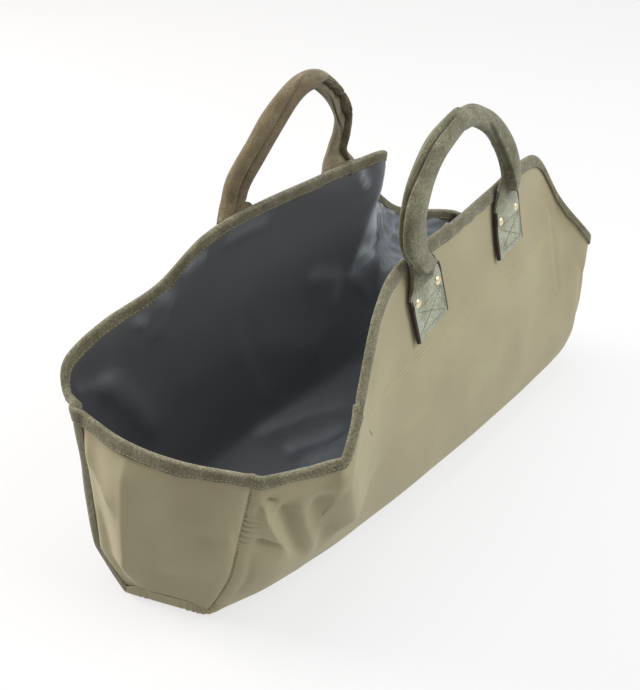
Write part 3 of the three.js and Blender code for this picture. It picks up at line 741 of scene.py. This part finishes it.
for name, end in ends.items():
    points, fine = endGrid(end)
    end["points"] = points  # from the front to the back
    height, across = runLength(points[:, panel["columns"] // 2]), runLength(points[-1])
    uv = np.stack(np.meshgrid(height, across, indexing="ij"), axis=2)
    fromSide = np.minimum(np.arange(panel["columns"]), np.arange(panel["columns"])[::-1])
    crumple = ridged(uv[..., 0], uv[..., 1], panel["crumple"], 31)
    crumple = crumple * smooth(fromSide / panel["crumpleSide"])[None, :]
    crumple = crumple * smooth((uv[-1:, :, 0] - uv[..., 0]) / panel["crumpleRim"])
    loose = panel["crumpleDepth"] * crumple
    inner = points - end["out"] * (body["canvas"] + body["liningGap"] + loose)[..., None]
    rub = smooth(fine / panel["rubHeight"]) * panel["rub"]
    # painted highlight on the crumples of the end lining
    bloom = smooth(crumple - panel["bloomFrom"]) * panel["bloom"]
    if gridNormals(points)[panel["rows"] // 2, panel["columns"] // 2] @ end["out"] < 0:
        points, inner, uv, rub, bloom = (part[:, ::-1] for part in (points, inner, uv, rub, bloom))
    seam = (end["outline"] + end["inward"] * (body["seamInset"] - panel["tuck"])) * mm
    cut = np.linalg.norm(np.cross(seam, np.roll(seam, -1, axis=0)).sum(axis=0)) / 2  # area inside the seam
    for kind, sheetPoints, tone in (("canvas", points, rub), ("lining", inner, bloom)):
        addSheet(f"{name}End{kind.capitalize()}", sheetPoints, uv, kind, f"{name}_end_{kind}",
                 cut, tone)
print("ends made")


# Mouth binding, a suede strip folded over the whole mouth
binding = {
    "depth": 11.0, "inDepth": 11.0, "outer": 1.9, "inner": 4.3, "rise": 1.8, "thickness": 1.2,
    "step": 2.6, "wave": 0.6, "inWave": 0.6, "waveSize": 38, "softness": 3.6, "lowX": -225,
    "lowReach": 42, "lowTuck": 3.2, "splices": ((-185, -115, 215), (2, -82, 298), (82, 93, 288)),
    "spliceReach": 9, "spliceRise": 1.3, "spliceDip": 0.5, "shoulder": 1.2, "crestPower": 0.8,
    "worn": 0.3, "wornTop": 1.5, "wornOver": 2.5, "wornLowest": 2, "softAngle": 60, "strip": 0.030,
}


def mouthPath():
    stops = []

    def add(points, downs, outs):
        stops.append(np.concatenate([points, unit(downs - points), outs], axis=1))

    def addEnd(top, out):
        add(top[-1, 2:-2], top[-6, 2:-2], np.tile(out, (top.shape[1] - 4, 1)))

    add(bodyPoints[:, 0], bodyPoints[:, 3], bodyOut[:, 1])
    addEnd(ends["far"]["points"], ends["far"]["out"])
    add(bodyPoints[::-1, -1], bodyPoints[::-1, -4], bodyOut[::-1, -2])
    addEnd(ends["near"]["points"][:, ::-1], ends["near"]["out"])
    path = np.concatenate(stops)
    loop = np.concatenate([path, path[:1]])
    run = runLength(loop[:, :3])
    even = np.linspace(0, run[-1], int(run[-1] / binding["step"]), endpoint=False)
    path = sampled(even, run, loop)
    width = binding["softness"] / binding["step"]
    points = blurred(path[:, :3], width / 2, "wrap")
    down = unit(blurred(path[:, 3:6], width, "wrap"))
    out = blurred(path[:, 6:], width, "wrap")
    out = unit(out - down * (out * down).sum(axis=1, keepdims=True))
    return even, run[-1], points, down, out


def closedWave(run, length, size, seed):  # uneven waves that meet round a loop
    turn = 2 * math.pi * run / length
    radius = length / (2 * math.pi)
    return ripple(radius * np.cos(turn), radius * np.sin(turn), size, seed)


def bindingProfile(depth, inDepth):  # outwards and downwards from the rim, round the strip's section
    outer, inner, wall = binding["outer"], binding["inner"], binding["thickness"]
    angle = np.linspace(0, np.pi, 9)
    middle, half = (outer - inner) / 2, (outer + inner) / 2
    shoulder = binding["shoulder"]
    crest = shoulder - (binding["rise"] + shoulder) * np.sin(angle) ** binding["crestPower"]
    over = np.stack([middle + half * np.cos(angle), crest], axis=1)
    outLeg = [(outer - 0.7, depth), (outer - 0.15, depth - 0.15), (outer + 0.1, depth - 1.0),
              (outer + 0.3, depth * 0.6), (outer + 0.2, depth * 0.3)]
    inLeg = [(-inner - 0.1, inDepth * 0.4), (-inner, inDepth - 1), (-inner + 0.2, inDepth - 0.15),
             (-inner + 0.8, inDepth)]
    inside = [(-inner + wall, inDepth - 0.4), (-inner + wall, 1.0), (middle - 1.2, -0.6),
              (middle + 1.2, -0.6), (outer - wall, 1.0), (outer - wall, depth - 0.4)]
    return np.array(outLeg + over.tolist() + inLeg + inside)


mouthRun, mouthLength, mouthPoints, mouthDown, mouthOut = mouthPath()
wavy = closedWave(mouthRun, mouthLength, binding["waveSize"], 5) * binding["wave"]
lowCorner = bell((mouthPoints[:, 0] - binding["lowX"]) / binding["lowReach"]) * (mouthPoints[:, 1] < 0)
wavy = wavy - binding["lowTuck"] * lowCorner  # the strip turns under along the low front rim
outDepth, inDepth = binding["depth"] + wavy, binding["inDepth"] + binding["inWave"] * wavy
profiles = np.stack([bindingProfile(*depths) for depths in zip(outDepth, inDepth)])
for spot in binding["splices"]:  # one strip ends on the next with a raised edge
    after = mouthRun - mouthRun[np.argmin(np.linalg.norm(mouthPoints - spot, axis=1))]
    lap = np.where(after <= 0, np.exp(after / binding["spliceReach"]), 0)
    lap = lap - binding["spliceDip"] * (np.abs(after - binding["step"]) < 0.1)
    lap = binding["spliceRise"] * lap[:, None]
    profiles[..., 0] += lap * np.sign(profiles[..., 0])
    profiles[..., 1] -= lap * (profiles[..., 1] < 0)
rings = mouthPoints[:, None] + mouthOut[:, None] * profiles[..., :1] + mouthDown[:, None] * profiles[..., 1:]
below = profiles[..., 1]
# painted sheen: the top of the binding is mixed towards the paler suede tone
paintedSheen = smooth((binding["wornTop"] - below) / binding["wornOver"]) * (below < binding["wornLowest"])
bindingFaces = gridFaces(*rings.shape[:2], True, True)
bindingPiece = meshPiece("mouthBinding", rings * mm, bindingFaces, None, {"rub": paintedSheen * binding["worn"]})
faceOutwards(bindingPiece)
softEdges(bindingPiece, binding["softAngle"])
dress(bindingPiece, suede["bindingSuede"], "suede", "mouth_binding")
print("binding made,", round(mouthLength), "mm round")


# Handles. x, z, out, wide, thick and roll are those of the solid. outerEdge and innerEdge say where a
# folded-over flap ends across the strap, lip how high the layer beyond it stands, wavy how much that edge
# wanders, and sideAngle and sideDepth where the groove between the two layers runs round the roll.
frontHandle = [
    [-43, 220, 0.4, 56, 4.4, 0, -9, -5, 0, 0.2, 10, 0],
    [-50, 257, 0.4, 57, 4.4, 0, -9, -5, 0, 0.2, 10, 0],
    [-54, 268, 0.9, 55, 9, 0.25, -6, -9, 0, 0.2, 5, 0],
    [-58, 278, 1.5, 46, 13, 0.55, 0, -12, 0, 0.2, 0, 0],
    [-64, 289, 2.2, 32, 15, 0.85, 7, -16, 0.1, 0.3, -5, 0.5],
    [-72, 303, 3, 23, 16, 1, 14, -20, 0.5, 0.4, -10, 2],
    [-80, 318, 1, 31, 18, 1, 26, -20, 0.8, 0.4, -14, 3.4],
    [-83, 333, -1, 35, 20, 1, 26, -20, 0.9, 0.4, -16, 4],
    [-75, 351, -4, 31, 21, 1, 26, -20, 0.9, 0.4, -12, 4.2],
    [-56, 370, -7, 27, 20, 1, 26, -20, 0.9, 0.4, 5, 4.2],
    [-33, 386, -9, 25, 20, 1, 26, -20, 0.9, 0.4, 9, 4.2],
    [0, 396, -10, 23, 18, 1, 26, -18, 0.9, 0.4, 9, 3.8],
    [14, 396, -10, 20, 17.5, 1, 26, -18, 0.9, 0.4, 9, 0],
    [41, 391, -10, 20, 17, 1, 20, -15, 0.8, 0.4, 70, 0],
    [77, 371, -7, 21, 17, 1, 20, -13, 0.8, 0.5, 133, 1.6],
    [105, 340, -2, 24, 18, 1, 20, -12, 0.85, 0.5, 152, 3],
    [115, 313, 2.6, 28, 17, 1, 22, -11, 0.6, 0.4, 136, 2.8],
    [114, 297, 3, 38, 14, 0.8, 17, 2, 0.1, 0.3, 120, 0],
    [115, 283, 2.0, 50, 9, 0.3, 8, 12, 0, 0.2, 120, 0],
    [118, 266, 0.4, 57, 4.4, 0, 2, 16, 0, 0.2, 120, 0],
    [120, 230, 0.4, 58, 4.4, 0, 2, 16, 0, 0.2, 120, 0],
]
backHandle = [
    [-78, 214, 0.4, 56, 4.4, 0, 26, -26, 1, 0.2, 100, 0],
    [-81, 252, 0.4, 57, 4.4, 0, 26, -26, 1, 0.2, 100, 0],
    [-81, 275, 2, 55, 5, 0.1, 26, 24, 0.3, 0.2, 100, 0],
    [-80, 288, 2.6, 48, 9, 0.4, 26, 16, 0.3, 0.3, 85, 0],
    [-79, 298, 3, 30, 16, 0.9, 24, -8, 0.5, 0.4, 75, 1.5],
    [-73, 315, 1, 26, 20, 1, 20, -16, 0.9, 0.4, 70, 3],
    [-57, 339, -4, 26, 20, 1, 20, -16, 0.9, 0.4, 69, 3.2],
    [-33, 365, -7, 26, 20, 1, 20, -16, 0.9, 0.4, 76, 3.2],
    [-9, 386, -10, 23, 19, 1, 20, -15, 0.8, 0.4, 58, 2.8],
    [13, 394, -11, 20, 18, 1, 20, -14, 0.8, 0.6, 40, 0],
    [34, 390, -10, 19, 17, 1, 20, -1, 0.6, 1.3, 125, 0],
    [61, 369, -7, 20, 17, 1, 20, 2, 0.5, 1.6, 128, 1],
    [79, 344, -4, 21, 16, 1, 20, 3, 0.5, 1.6, 150, 1.5],
    [82, 321, 0, 21, 16, 1, 20, 5, 0.5, 0.9, 92, 2.4],
    [78, 303, 3, 25, 15, 1, 22, 6, 0.5, 0.4, 88, 2],
    [76, 291, 2.6, 44, 10, 0.5, 26, 12, 0.2, 0.3, 120, 0],
    [75, 279, 2.2, 54, 6, 0.2, 26, 18, 0.3, 0.2, 120, 0],
    [73, 252, 0.4, 57, 4.4, 0, 26, 26, 1, 0.2, 120, 0],
    [70, 214, 0.4, 56, 4.4, 0, 26, 26, 1, 0.2, 120, 0],
]
strap = {
    "steps": 280, "sides": 96, "flatPower": 7, "rollPower": 2.3, "edge": 1.5, "groove": 4.0, "flat": 4.4,
    "wander": 22, "layerGap": 2.3, "layerFrom": 0.6, "layerDepth": 2.4, "layerWidth": 0.7,
    "sideWidth": 1.7, "sideLip": 1.0, "lipOff": 3.4, "lipWidth": 2.4, "stretch": (0.2, 0.82),
    "lowest": 0.25, "tabCurl": 1.4, "curlRamp": (0.45, 0.55), "curlFade": 4, "dimple": 0.16,
    "dimpleSize": 60, "pressedFade": 1.6,
    "paleInside": 0.8, "paleRamp": (0.46, 0.12), "edgeSine": 0.75, "edgeRoll": 0.3, "softAngle": 55,
}

panelLines = {}
for side in (-1, 1):
    inStretch = np.flatnonzero((bodyAlong > strap["stretch"][0]) & (bodyAlong < strap["stretch"][1]))
    wall = np.flatnonzero((columnSide == side) & (columnUp > strap["lowest"]))
    wall = wall[np.argsort(columnUp[wall])]
    panelLines[side] = bodyPoints[np.ix_(inStretch, wall)]


def panelY(side, x, z):  # where a side panel's outer face stands, and above the rim where the rim is
    x, z = np.asarray(x, float), np.asarray(z, float)
    rows = np.stack([sampled(z.ravel(), line[:, 2], line[:, :2]) for line in panelLines[side]])
    return np.array([np.interp(value, *rows[:, k].T) for k, value in enumerate(x.ravel())]).reshape(x.shape)


def facingAt(side, x, z, reach):  # the way that a side panel faces
    slopeX = (panelY(side, x + reach, z) - panelY(side, x - reach, z)) / (2 * reach)
    slopeZ = (panelY(side, x, z + reach) - panelY(side, x, z - reach)) / (2 * reach)
    return unit(np.stack([-slopeX * side, side + 0 * slopeX, -slopeZ * side], axis=-1))


def strapRings(table, side, seed, layers):
    s = strap
    t = np.linspace(0, 1, s["steps"] + 1)
    columns = rowsAt(table, t).T[:, :, None]
    x, z, out, wide, thick, roll, outerEdge, innerEdge, lip, wavy, sideAngle, sideDepth = columns
    roll, lip, sideDepth = np.clip(roll, 0, 1), np.clip(lip, 0, 1), np.maximum(sideDepth, 0)
    line = np.concatenate([x, z], axis=1)
    run = runLength(line)[:, None]
    ahead = unit(np.gradient(line, axis=0))
    wander = wavy * ripple(run, 0 * run, s["wander"], seed)
    power = s["flatPower"] + (s["rollPower"] - s["flatPower"]) * roll
    angle = (2 * np.pi * (np.arange(s["sides"]) + 0.5) / s["sides"])[None, :]
    cos, sin = (np.sign(part(angle)) * np.abs(part(angle)) ** (2 / power) for part in (np.cos, np.sin))
    across, height = wide / 2 * cos, thick / 2 * (1 + sin)
    radius = (wide + thick) / 4
    turn = ((angle - np.radians(sideAngle) + np.pi) % (2 * np.pi) - np.pi) * radius
    dent = sideDepth * bell(turn / s["sideWidth"])
    dent = dent - s["sideLip"] * np.clip(sideDepth, 0, 1) * bell((turn + s["lipOff"]) / s["lipWidth"])
    dent = dent - s["dimple"] * roll * ripple(run, angle * radius, s["dimpleSize"], seed + 5)
    across, height = across - dent * np.cos(angle), height - dent * np.sin(angle)
    beyond = np.maximum(across - outerEdge - wander, innerEdge + wander - across)
    share = smooth(beyond / s["edge"] + 0.5)
    folded = height * (1 - share * (1 - lip)) - s["groove"] * roll * bell(beyond / s["edge"])
    parted = s["layerDepth"] * np.clip(wavy - s["layerFrom"], 0, 1)
    for k in range(1, layers + 1):  # the edges of the layers inside an open roll
        folded = folded - parted * bell((beyond + k * s["layerGap"]) / s["layerWidth"])
    low = np.minimum(s["flat"], height)
    height = np.where(np.sin(angle) > 0, np.maximum(folded, low), height)
    left = np.where(t[:, None] < 0.5, across, -across) * 2 / wide
    height = height + (1 - smooth(roll * s["curlFade"])) * s["tabCurl"] * ramp(left, *s["curlRamp"])
    if side > 0:
        height = thick - height  # the back handle is folded on its inner face
    px, pz = x - ahead[:, 1:] * across, z + ahead[:, :1] * across
    py = panelY(side, px, pz) + side * (out + np.maximum(height, 0))
    return np.stack([px, py, pz], axis=2), roll, angle


def addHandle(name, table, side, material, seed, layers):
    rings, roll, angle = strapRings(table, side, seed, layers)
    rows, sides = rings.shape[:2]
    foot = list(range(sides))
    faces = gridFaces(rows, sides, False, True) + [foot, [(rows - 1) * sides + k for k in foot[::-1]]]
    pressed = (1 - smooth(roll * strap["pressedFade"])) * np.ones(sides)
    if layers:  # painted light on the opened far bend of the roll, which faces away from the lamps
        litBend = ramp(np.linspace(0, 1, rows)[:, None], *strap["paleRamp"])
        pressed = np.maximum(pressed, strap["paleInside"] * litBend)
    piece = meshPiece(name, rings * mm, faces, None, {"rub": pressed})
    faceOutwards(piece)
    softEdges(piece, strap["softAngle"])
    dress(piece, material, "suede", f"{name[:-6].lower()}_handle")
    piece.data.materials.append(cutEdge)
    # the strap's side faces get the near-black painted shade
    paintedShadeFaces = (np.abs(np.sin(angle)) < strap["edgeSine"]) & (roll < strap["edgeRoll"])
    for face in piece.data.polygons:
        if len(face.vertices) == 4 and paintedShadeFaces.ravel()[list(face.vertices)].all():
            face.material_index = 1


addHandle("frontHandle", frontHandle, -1, suede["handleSuede"], 11, 0)
addHandle("backHandle", backHandle, 1, suede["tanSuede"], 12, 2)
print("handles made")


# Stitches: joined grains of thread, each lying on the cloth from its start to its end
stitch = {"rise": 0.35 / 0.55, "flatness": 0.8, "sides": 6, "softAngle": 60,
          "rings": ((0, 0.3), (0.12, 0.85), (0.5, 1.0), (0.88, 0.85), (1, 0.3))}


def addStitches(name, starts, stops, outs, material, radius):
    rounds, sides = len(stitch["rings"]), stitch["sides"]
    aside = unit(np.cross(outs, unit(stops - starts)))
    rings = []
    for f, size in stitch["rings"]:
        middle = starts + (stops - starts) * f + outs * (stitch["rise"] * radius * math.sin(math.pi * f))
        for a in 2 * math.pi * np.arange(sides) / sides:
            way = aside * math.cos(a) + outs * (stitch["flatness"] * math.sin(a))
            rings.append(middle + way * (size * radius))
    points = np.stack(rings, axis=1)
    tip = list(range(sides))
    one = gridFaces(rounds, sides, False, True) + [tip[::-1], [(rounds - 1) * sides + k for k in tip]]
    faces = [[i * rounds * sides + k for k in face] for i in range(len(points)) for face in one]
    piece = meshPiece(name, points * mm, faces)
    faceOutwards(piece)
    softEdges(piece, stitch["softAngle"])
    dress(piece, material, None)


def stitchesAlong(points, outs, row):  # starts, stops and facings at an even pitch along a line
    run = runLength(points)
    begin = np.arange(row["pitch"] / 2, run[-1] - row["length"], row["pitch"])
    starts, stops = (sampled(begin + shift, run, points) for shift in (0, row["length"]))
    return starts, stops, unit(sampled(begin + row["length"] / 2, run, outs))


def joined(rows):
    return [np.concatenate(part) for part in zip(*rows)]


# Binding stitches, outside and inside
bindingRow = {"pitch": 4.4, "length": 3.1, "fromEdge": 2.6, "outLift": 0.2, "inLift": 0.1, "radius": 0.42}
outerLine = (mouthPoints + mouthOut * (binding["outer"] + bindingRow["outLift"])
             + mouthDown * (outDepth - bindingRow["fromEdge"])[:, None])
innerLine = (mouthPoints - mouthOut * (binding["inner"] + bindingRow["inLift"])
             + mouthDown * (inDepth - bindingRow["fromEdge"])[:, None])
lines = [stitchesAlong(outerLine, mouthOut, bindingRow), stitchesAlong(innerLine, -mouthOut, bindingRow)]
addStitches("bindingStitches", *joined(lines), thread["bindingThread"], bindingRow["radius"])

# Double row across each side
panelRow = {-1: (-163, 209), 1: (-215, 176), "z": (194.5, 200), "pitch": 4.0, "length": 3.0, "apart": 3.2,
            "steps": 200, "reach": 3, "radius": 0.44}
lines = []
for side in (-1, 1):
    x, z = (np.linspace(*panelRow[key], panelRow["steps"]) for key in (side, "z"))
    for shift in (-0.5, 0.5):
        height = z + shift * panelRow["apart"]
        line = np.stack([x, panelY(side, x, height), height], axis=1)
        lines.append(stitchesAlong(line, facingAt(side, x, height, panelRow["reach"]), panelRow))
addStitches("panelStitches", *joined(lines), thread["panelThread"], panelRow["radius"])

# Dots of the seam beside the lapped front edge of each end
seamRow = {"pitch": 4.2, "length": 1.8, "inset": 4.6, "lift": 0.1, "ups": (0.2, 0.93), "steps": 160,
           "radius": 0.36}
lines = []
for end in ends.values():
    place = middleColumn - np.searchsorted(halfUps, np.linspace(*seamRow["ups"], seamRow["steps"]))
    line = (end["outline"] + end["inward"] * seamRow["inset"] + end["out"] * seamRow["lift"])[place]
    lines.append(stitchesAlong(line, np.tile(end["out"], (len(line), 1)), seamRow))
addStitches("seamStitches", *joined(lines), thread["seamThread"], seamRow["radius"])

# A box with a cross on each tab
tabRow = {"pitch": 3.6, "length": 2.6, "half": 23, "low": 5, "high": 31, "lift": 0.1, "steps": 24,
          "radius": 0.28}


def tabStitches(side, first, second):  # first and second are the two lowest rows of a handle's foot
    foot, above = np.array(first[:2], float), np.array(second[:2], float)
    ahead = unit(above - foot)
    aside = np.array([ahead[1], -ahead[0]])
    half, low, high = tabRow["half"], tabRow["low"], tabRow["high"]
    corners = [(-half, low), (half, low), (half, high), (-half, high), (-half, low)]
    legs = list(zip(corners[:-1], corners[1:])) + [((-half, low), (half, high)), ((half, low), (-half, high))]
    f = np.linspace(0, 1, tabRow["steps"])[:, None]
    rows = []
    for a, b in legs:
        local = np.array(a) * (1 - f) + np.array(b) * f
        x, z = (foot + aside * local[:, :1] + ahead * local[:, 1:]).T
        y = panelY(side, x, z) + side * (first[2] + first[4] + tabRow["lift"])
        outs = np.tile([0.0, side, 0.1], (len(f), 1))
        rows.append(stitchesAlong(np.stack([x, y, z], axis=1), outs, tabRow))
    return joined(rows)


lines = [tabStitches(side, *foot) for table, side in ((frontHandle, -1), (backHandle, 1))
         for foot in (table[:2], table[:-3:-1])]
addStitches("tabStitches", *joined(lines), thread["tabThread"], tabRow["radius"])

# A loose end of thread on the front, near the low corner
looseEnd = {"x": (-165, -156), "z": (181, 169), "radius": 0.34, "reach": 3}
endX, endZ = (np.array(looseEnd[key], float) for key in ("x", "z"))
endLine = np.stack([endX, panelY(-1, endX, endZ), endZ], axis=1)
addStitches("looseThread", endLine[:1], endLine[1:], facingAt(-1, endX, endZ, looseEnd["reach"])[:1],
            thread["seamThread"], looseEnd["radius"])
print("stitches made")


# Rivets. steps are the inset and rise of each ring of the dome, as shares of its radius and height
rivet = {"radius": 4.4, "rim": 1.0, "dome": 1.3, "sides": 40, "seat": 0.6, "bevel": 0.25, "softAngle": 40,
         "steps": ((0.096, 0.25), (0.2, 0.45), (0.24, 0.35), (0.32, 0.25))}


def addRivet(node):
    low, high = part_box(node)
    middle = (low + high) / 2
    side = -1 if middle.y < 0 else 1
    out = Vector(facingAt(side, np.array(middle.x / mm), np.array(middle.z / mm), rivet["radius"]))
    bpy.ops.object.select_all(action="DESELECT")
    bpy.ops.mesh.primitive_cylinder_add(vertices=rivet["sides"], radius=rivet["radius"] * mm,
                                        depth=rivet["rim"] * mm, location=(0, 0, rivet["rim"] * mm / 2))
    piece = bpy.context.object
    words = node.split("_")
    piece.name = words[0] + "".join(word.capitalize() for word in words[1:])
    piece.data.name = piece.name
    bpy.ops.object.transform_apply(location=True)
    bpy.ops.object.mode_set(mode="EDIT")
    bpy.ops.mesh.select_all(action="DESELECT")
    bpy.ops.object.mode_set(mode="OBJECT")
    for face in piece.data.polygons:
        face.select = face.normal.z > 0.9
    bpy.ops.object.mode_set(mode="EDIT")
    for share, lift in rivet["steps"]:
        bpy.ops.mesh.inset(thickness=rivet["radius"] * share * mm)
        bpy.ops.transform.translate(value=(0, 0, rivet["dome"] * lift * mm))
    bpy.ops.object.mode_set(mode="OBJECT")
    soft = piece.modifiers.new("soft", "BEVEL")
    soft.width = rivet["bevel"] * mm
    soft.segments = 2
    soft.limit_method = "ANGLE"
    bpy.ops.object.modifier_apply(modifier=soft.name)
    seat = middle - out * (rivet["seat"] * mm)
    piece.matrix_world = Matrix.Translation(seat) @ out.to_track_quat("Z", "Y").to_matrix().to_4x4()
    activate(piece)
    bpy.ops.object.transform_apply(location=True, rotation=True, scale=True)
    softEdges(piece, rivet["softAngle"])
    dress(piece, brass, "brass", node)


for nodeName in sorted(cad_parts):
    if "rivet" in nodeName:
        addRivet(nodeName)
print("rivets made")


# Floor, light and camera
studio = {
    "floor": ("#6e6e6e", "#727272"), "floorGrain": 1000 / 3, "floorGlow": "#ffffff",
    "floorGlowStrength": 0.70, "floorSize": 14, "floorDrop": -0.0006, "world": "#fff6f4",
    "worldStrength": 0.5, "worldTowards": (0.75, -0.25, 0.6), "worldShades": (0.35, 1.2),
    "cameraPlace": (-0.784, -0.548, 0.737), "cameraTarget": (0.145, 0.178, 0.0), "focalPixels": 1100,
    "framePixels": 690, "sensor": 36,
}
# name, place, target, size, watts, colour
studioLights = [
    ("frontKey", (1.0, -2.0, 2.2), (0, 0, 0.15), 1.8, 74, "#fbfdff"),
    ("overhead", (0.0, 0.3, 2.4), (0, 0, 0.1), 1.6, 30, "#f4f9ff"),
    ("backLeft", (-0.8, 2.2, 1.0), (-0.2, 0, 0.15), 1.2, 80, "#fff8ee"),
]

bpy.ops.object.select_all(action="DESELECT")
bpy.ops.mesh.primitive_plane_add(size=studio["floorSize"], location=(0, 0, studio["floorDrop"]))
floor = bpy.context.object
floor.name = "floor"
# Pale paper: a matte sweep with a faint grain, lit white from below.
paperLook = {"Roughness": 0.9, "Emission Color": linear(studio["floorGlow"]),
             "Emission Strength": studio["floorGlowStrength"]}
paper = makeFlecked("palePaper", *studio["floor"], studio["floorGrain"], 2, paperLook)[0]
floor.data.materials.append(paper)

world = bpy.data.worlds.new("studio")
world.use_nodes = True
sky = world.node_tree
skyWay = addNode(sky, "TexCoord", {})["Generated"]
skyTurn = addNode(sky, "VectorMath", {0: skyWay, 1: studio["worldTowards"]}, operation="DOT_PRODUCT")["Value"]
darkest, brightest = (shade * studio["worldStrength"] for shade in studio["worldShades"])
skyShade = addNode(sky, "MapRange", {
    "Value": skyTurn, "From Min": -1, "From Max": 1, "To Min": darkest, "To Max": brightest})[0]
# The room is darker towards the near end
feed(sky, sky.nodes["Background"], {"Color": linear(studio["world"]), "Strength": skyShade})
bpy.context.scene.world = world


def turnTo(place, target):
    return (Vector(target) - Vector(place)).to_track_quat("-Z", "Y").to_euler()


for name, place, target, size, watts, colour in studioLights:
    bpy.ops.object.light_add(type="AREA", location=place)
    lamp = bpy.context.object
    lamp.name = name
    lamp.data.size = size
    lamp.data.energy = watts
    lamp.data.color = linear(colour)[:3]
    lamp.rotation_euler = turnTo(place, target)

bpy.ops.object.camera_add(location=studio["cameraPlace"])
camera = bpy.context.object
camera.name = "photoCamera"
camera.rotation_euler = turnTo(studio["cameraPlace"], studio["cameraTarget"])
camera.data.sensor_width = studio["sensor"]
camera.data.lens = studio["focalPixels"] / studio["framePixels"] * studio["sensor"]
bpy.context.scene.camera = camera
bpy.context.scene.view_settings.view_transform = "Standard"
print("studio set")
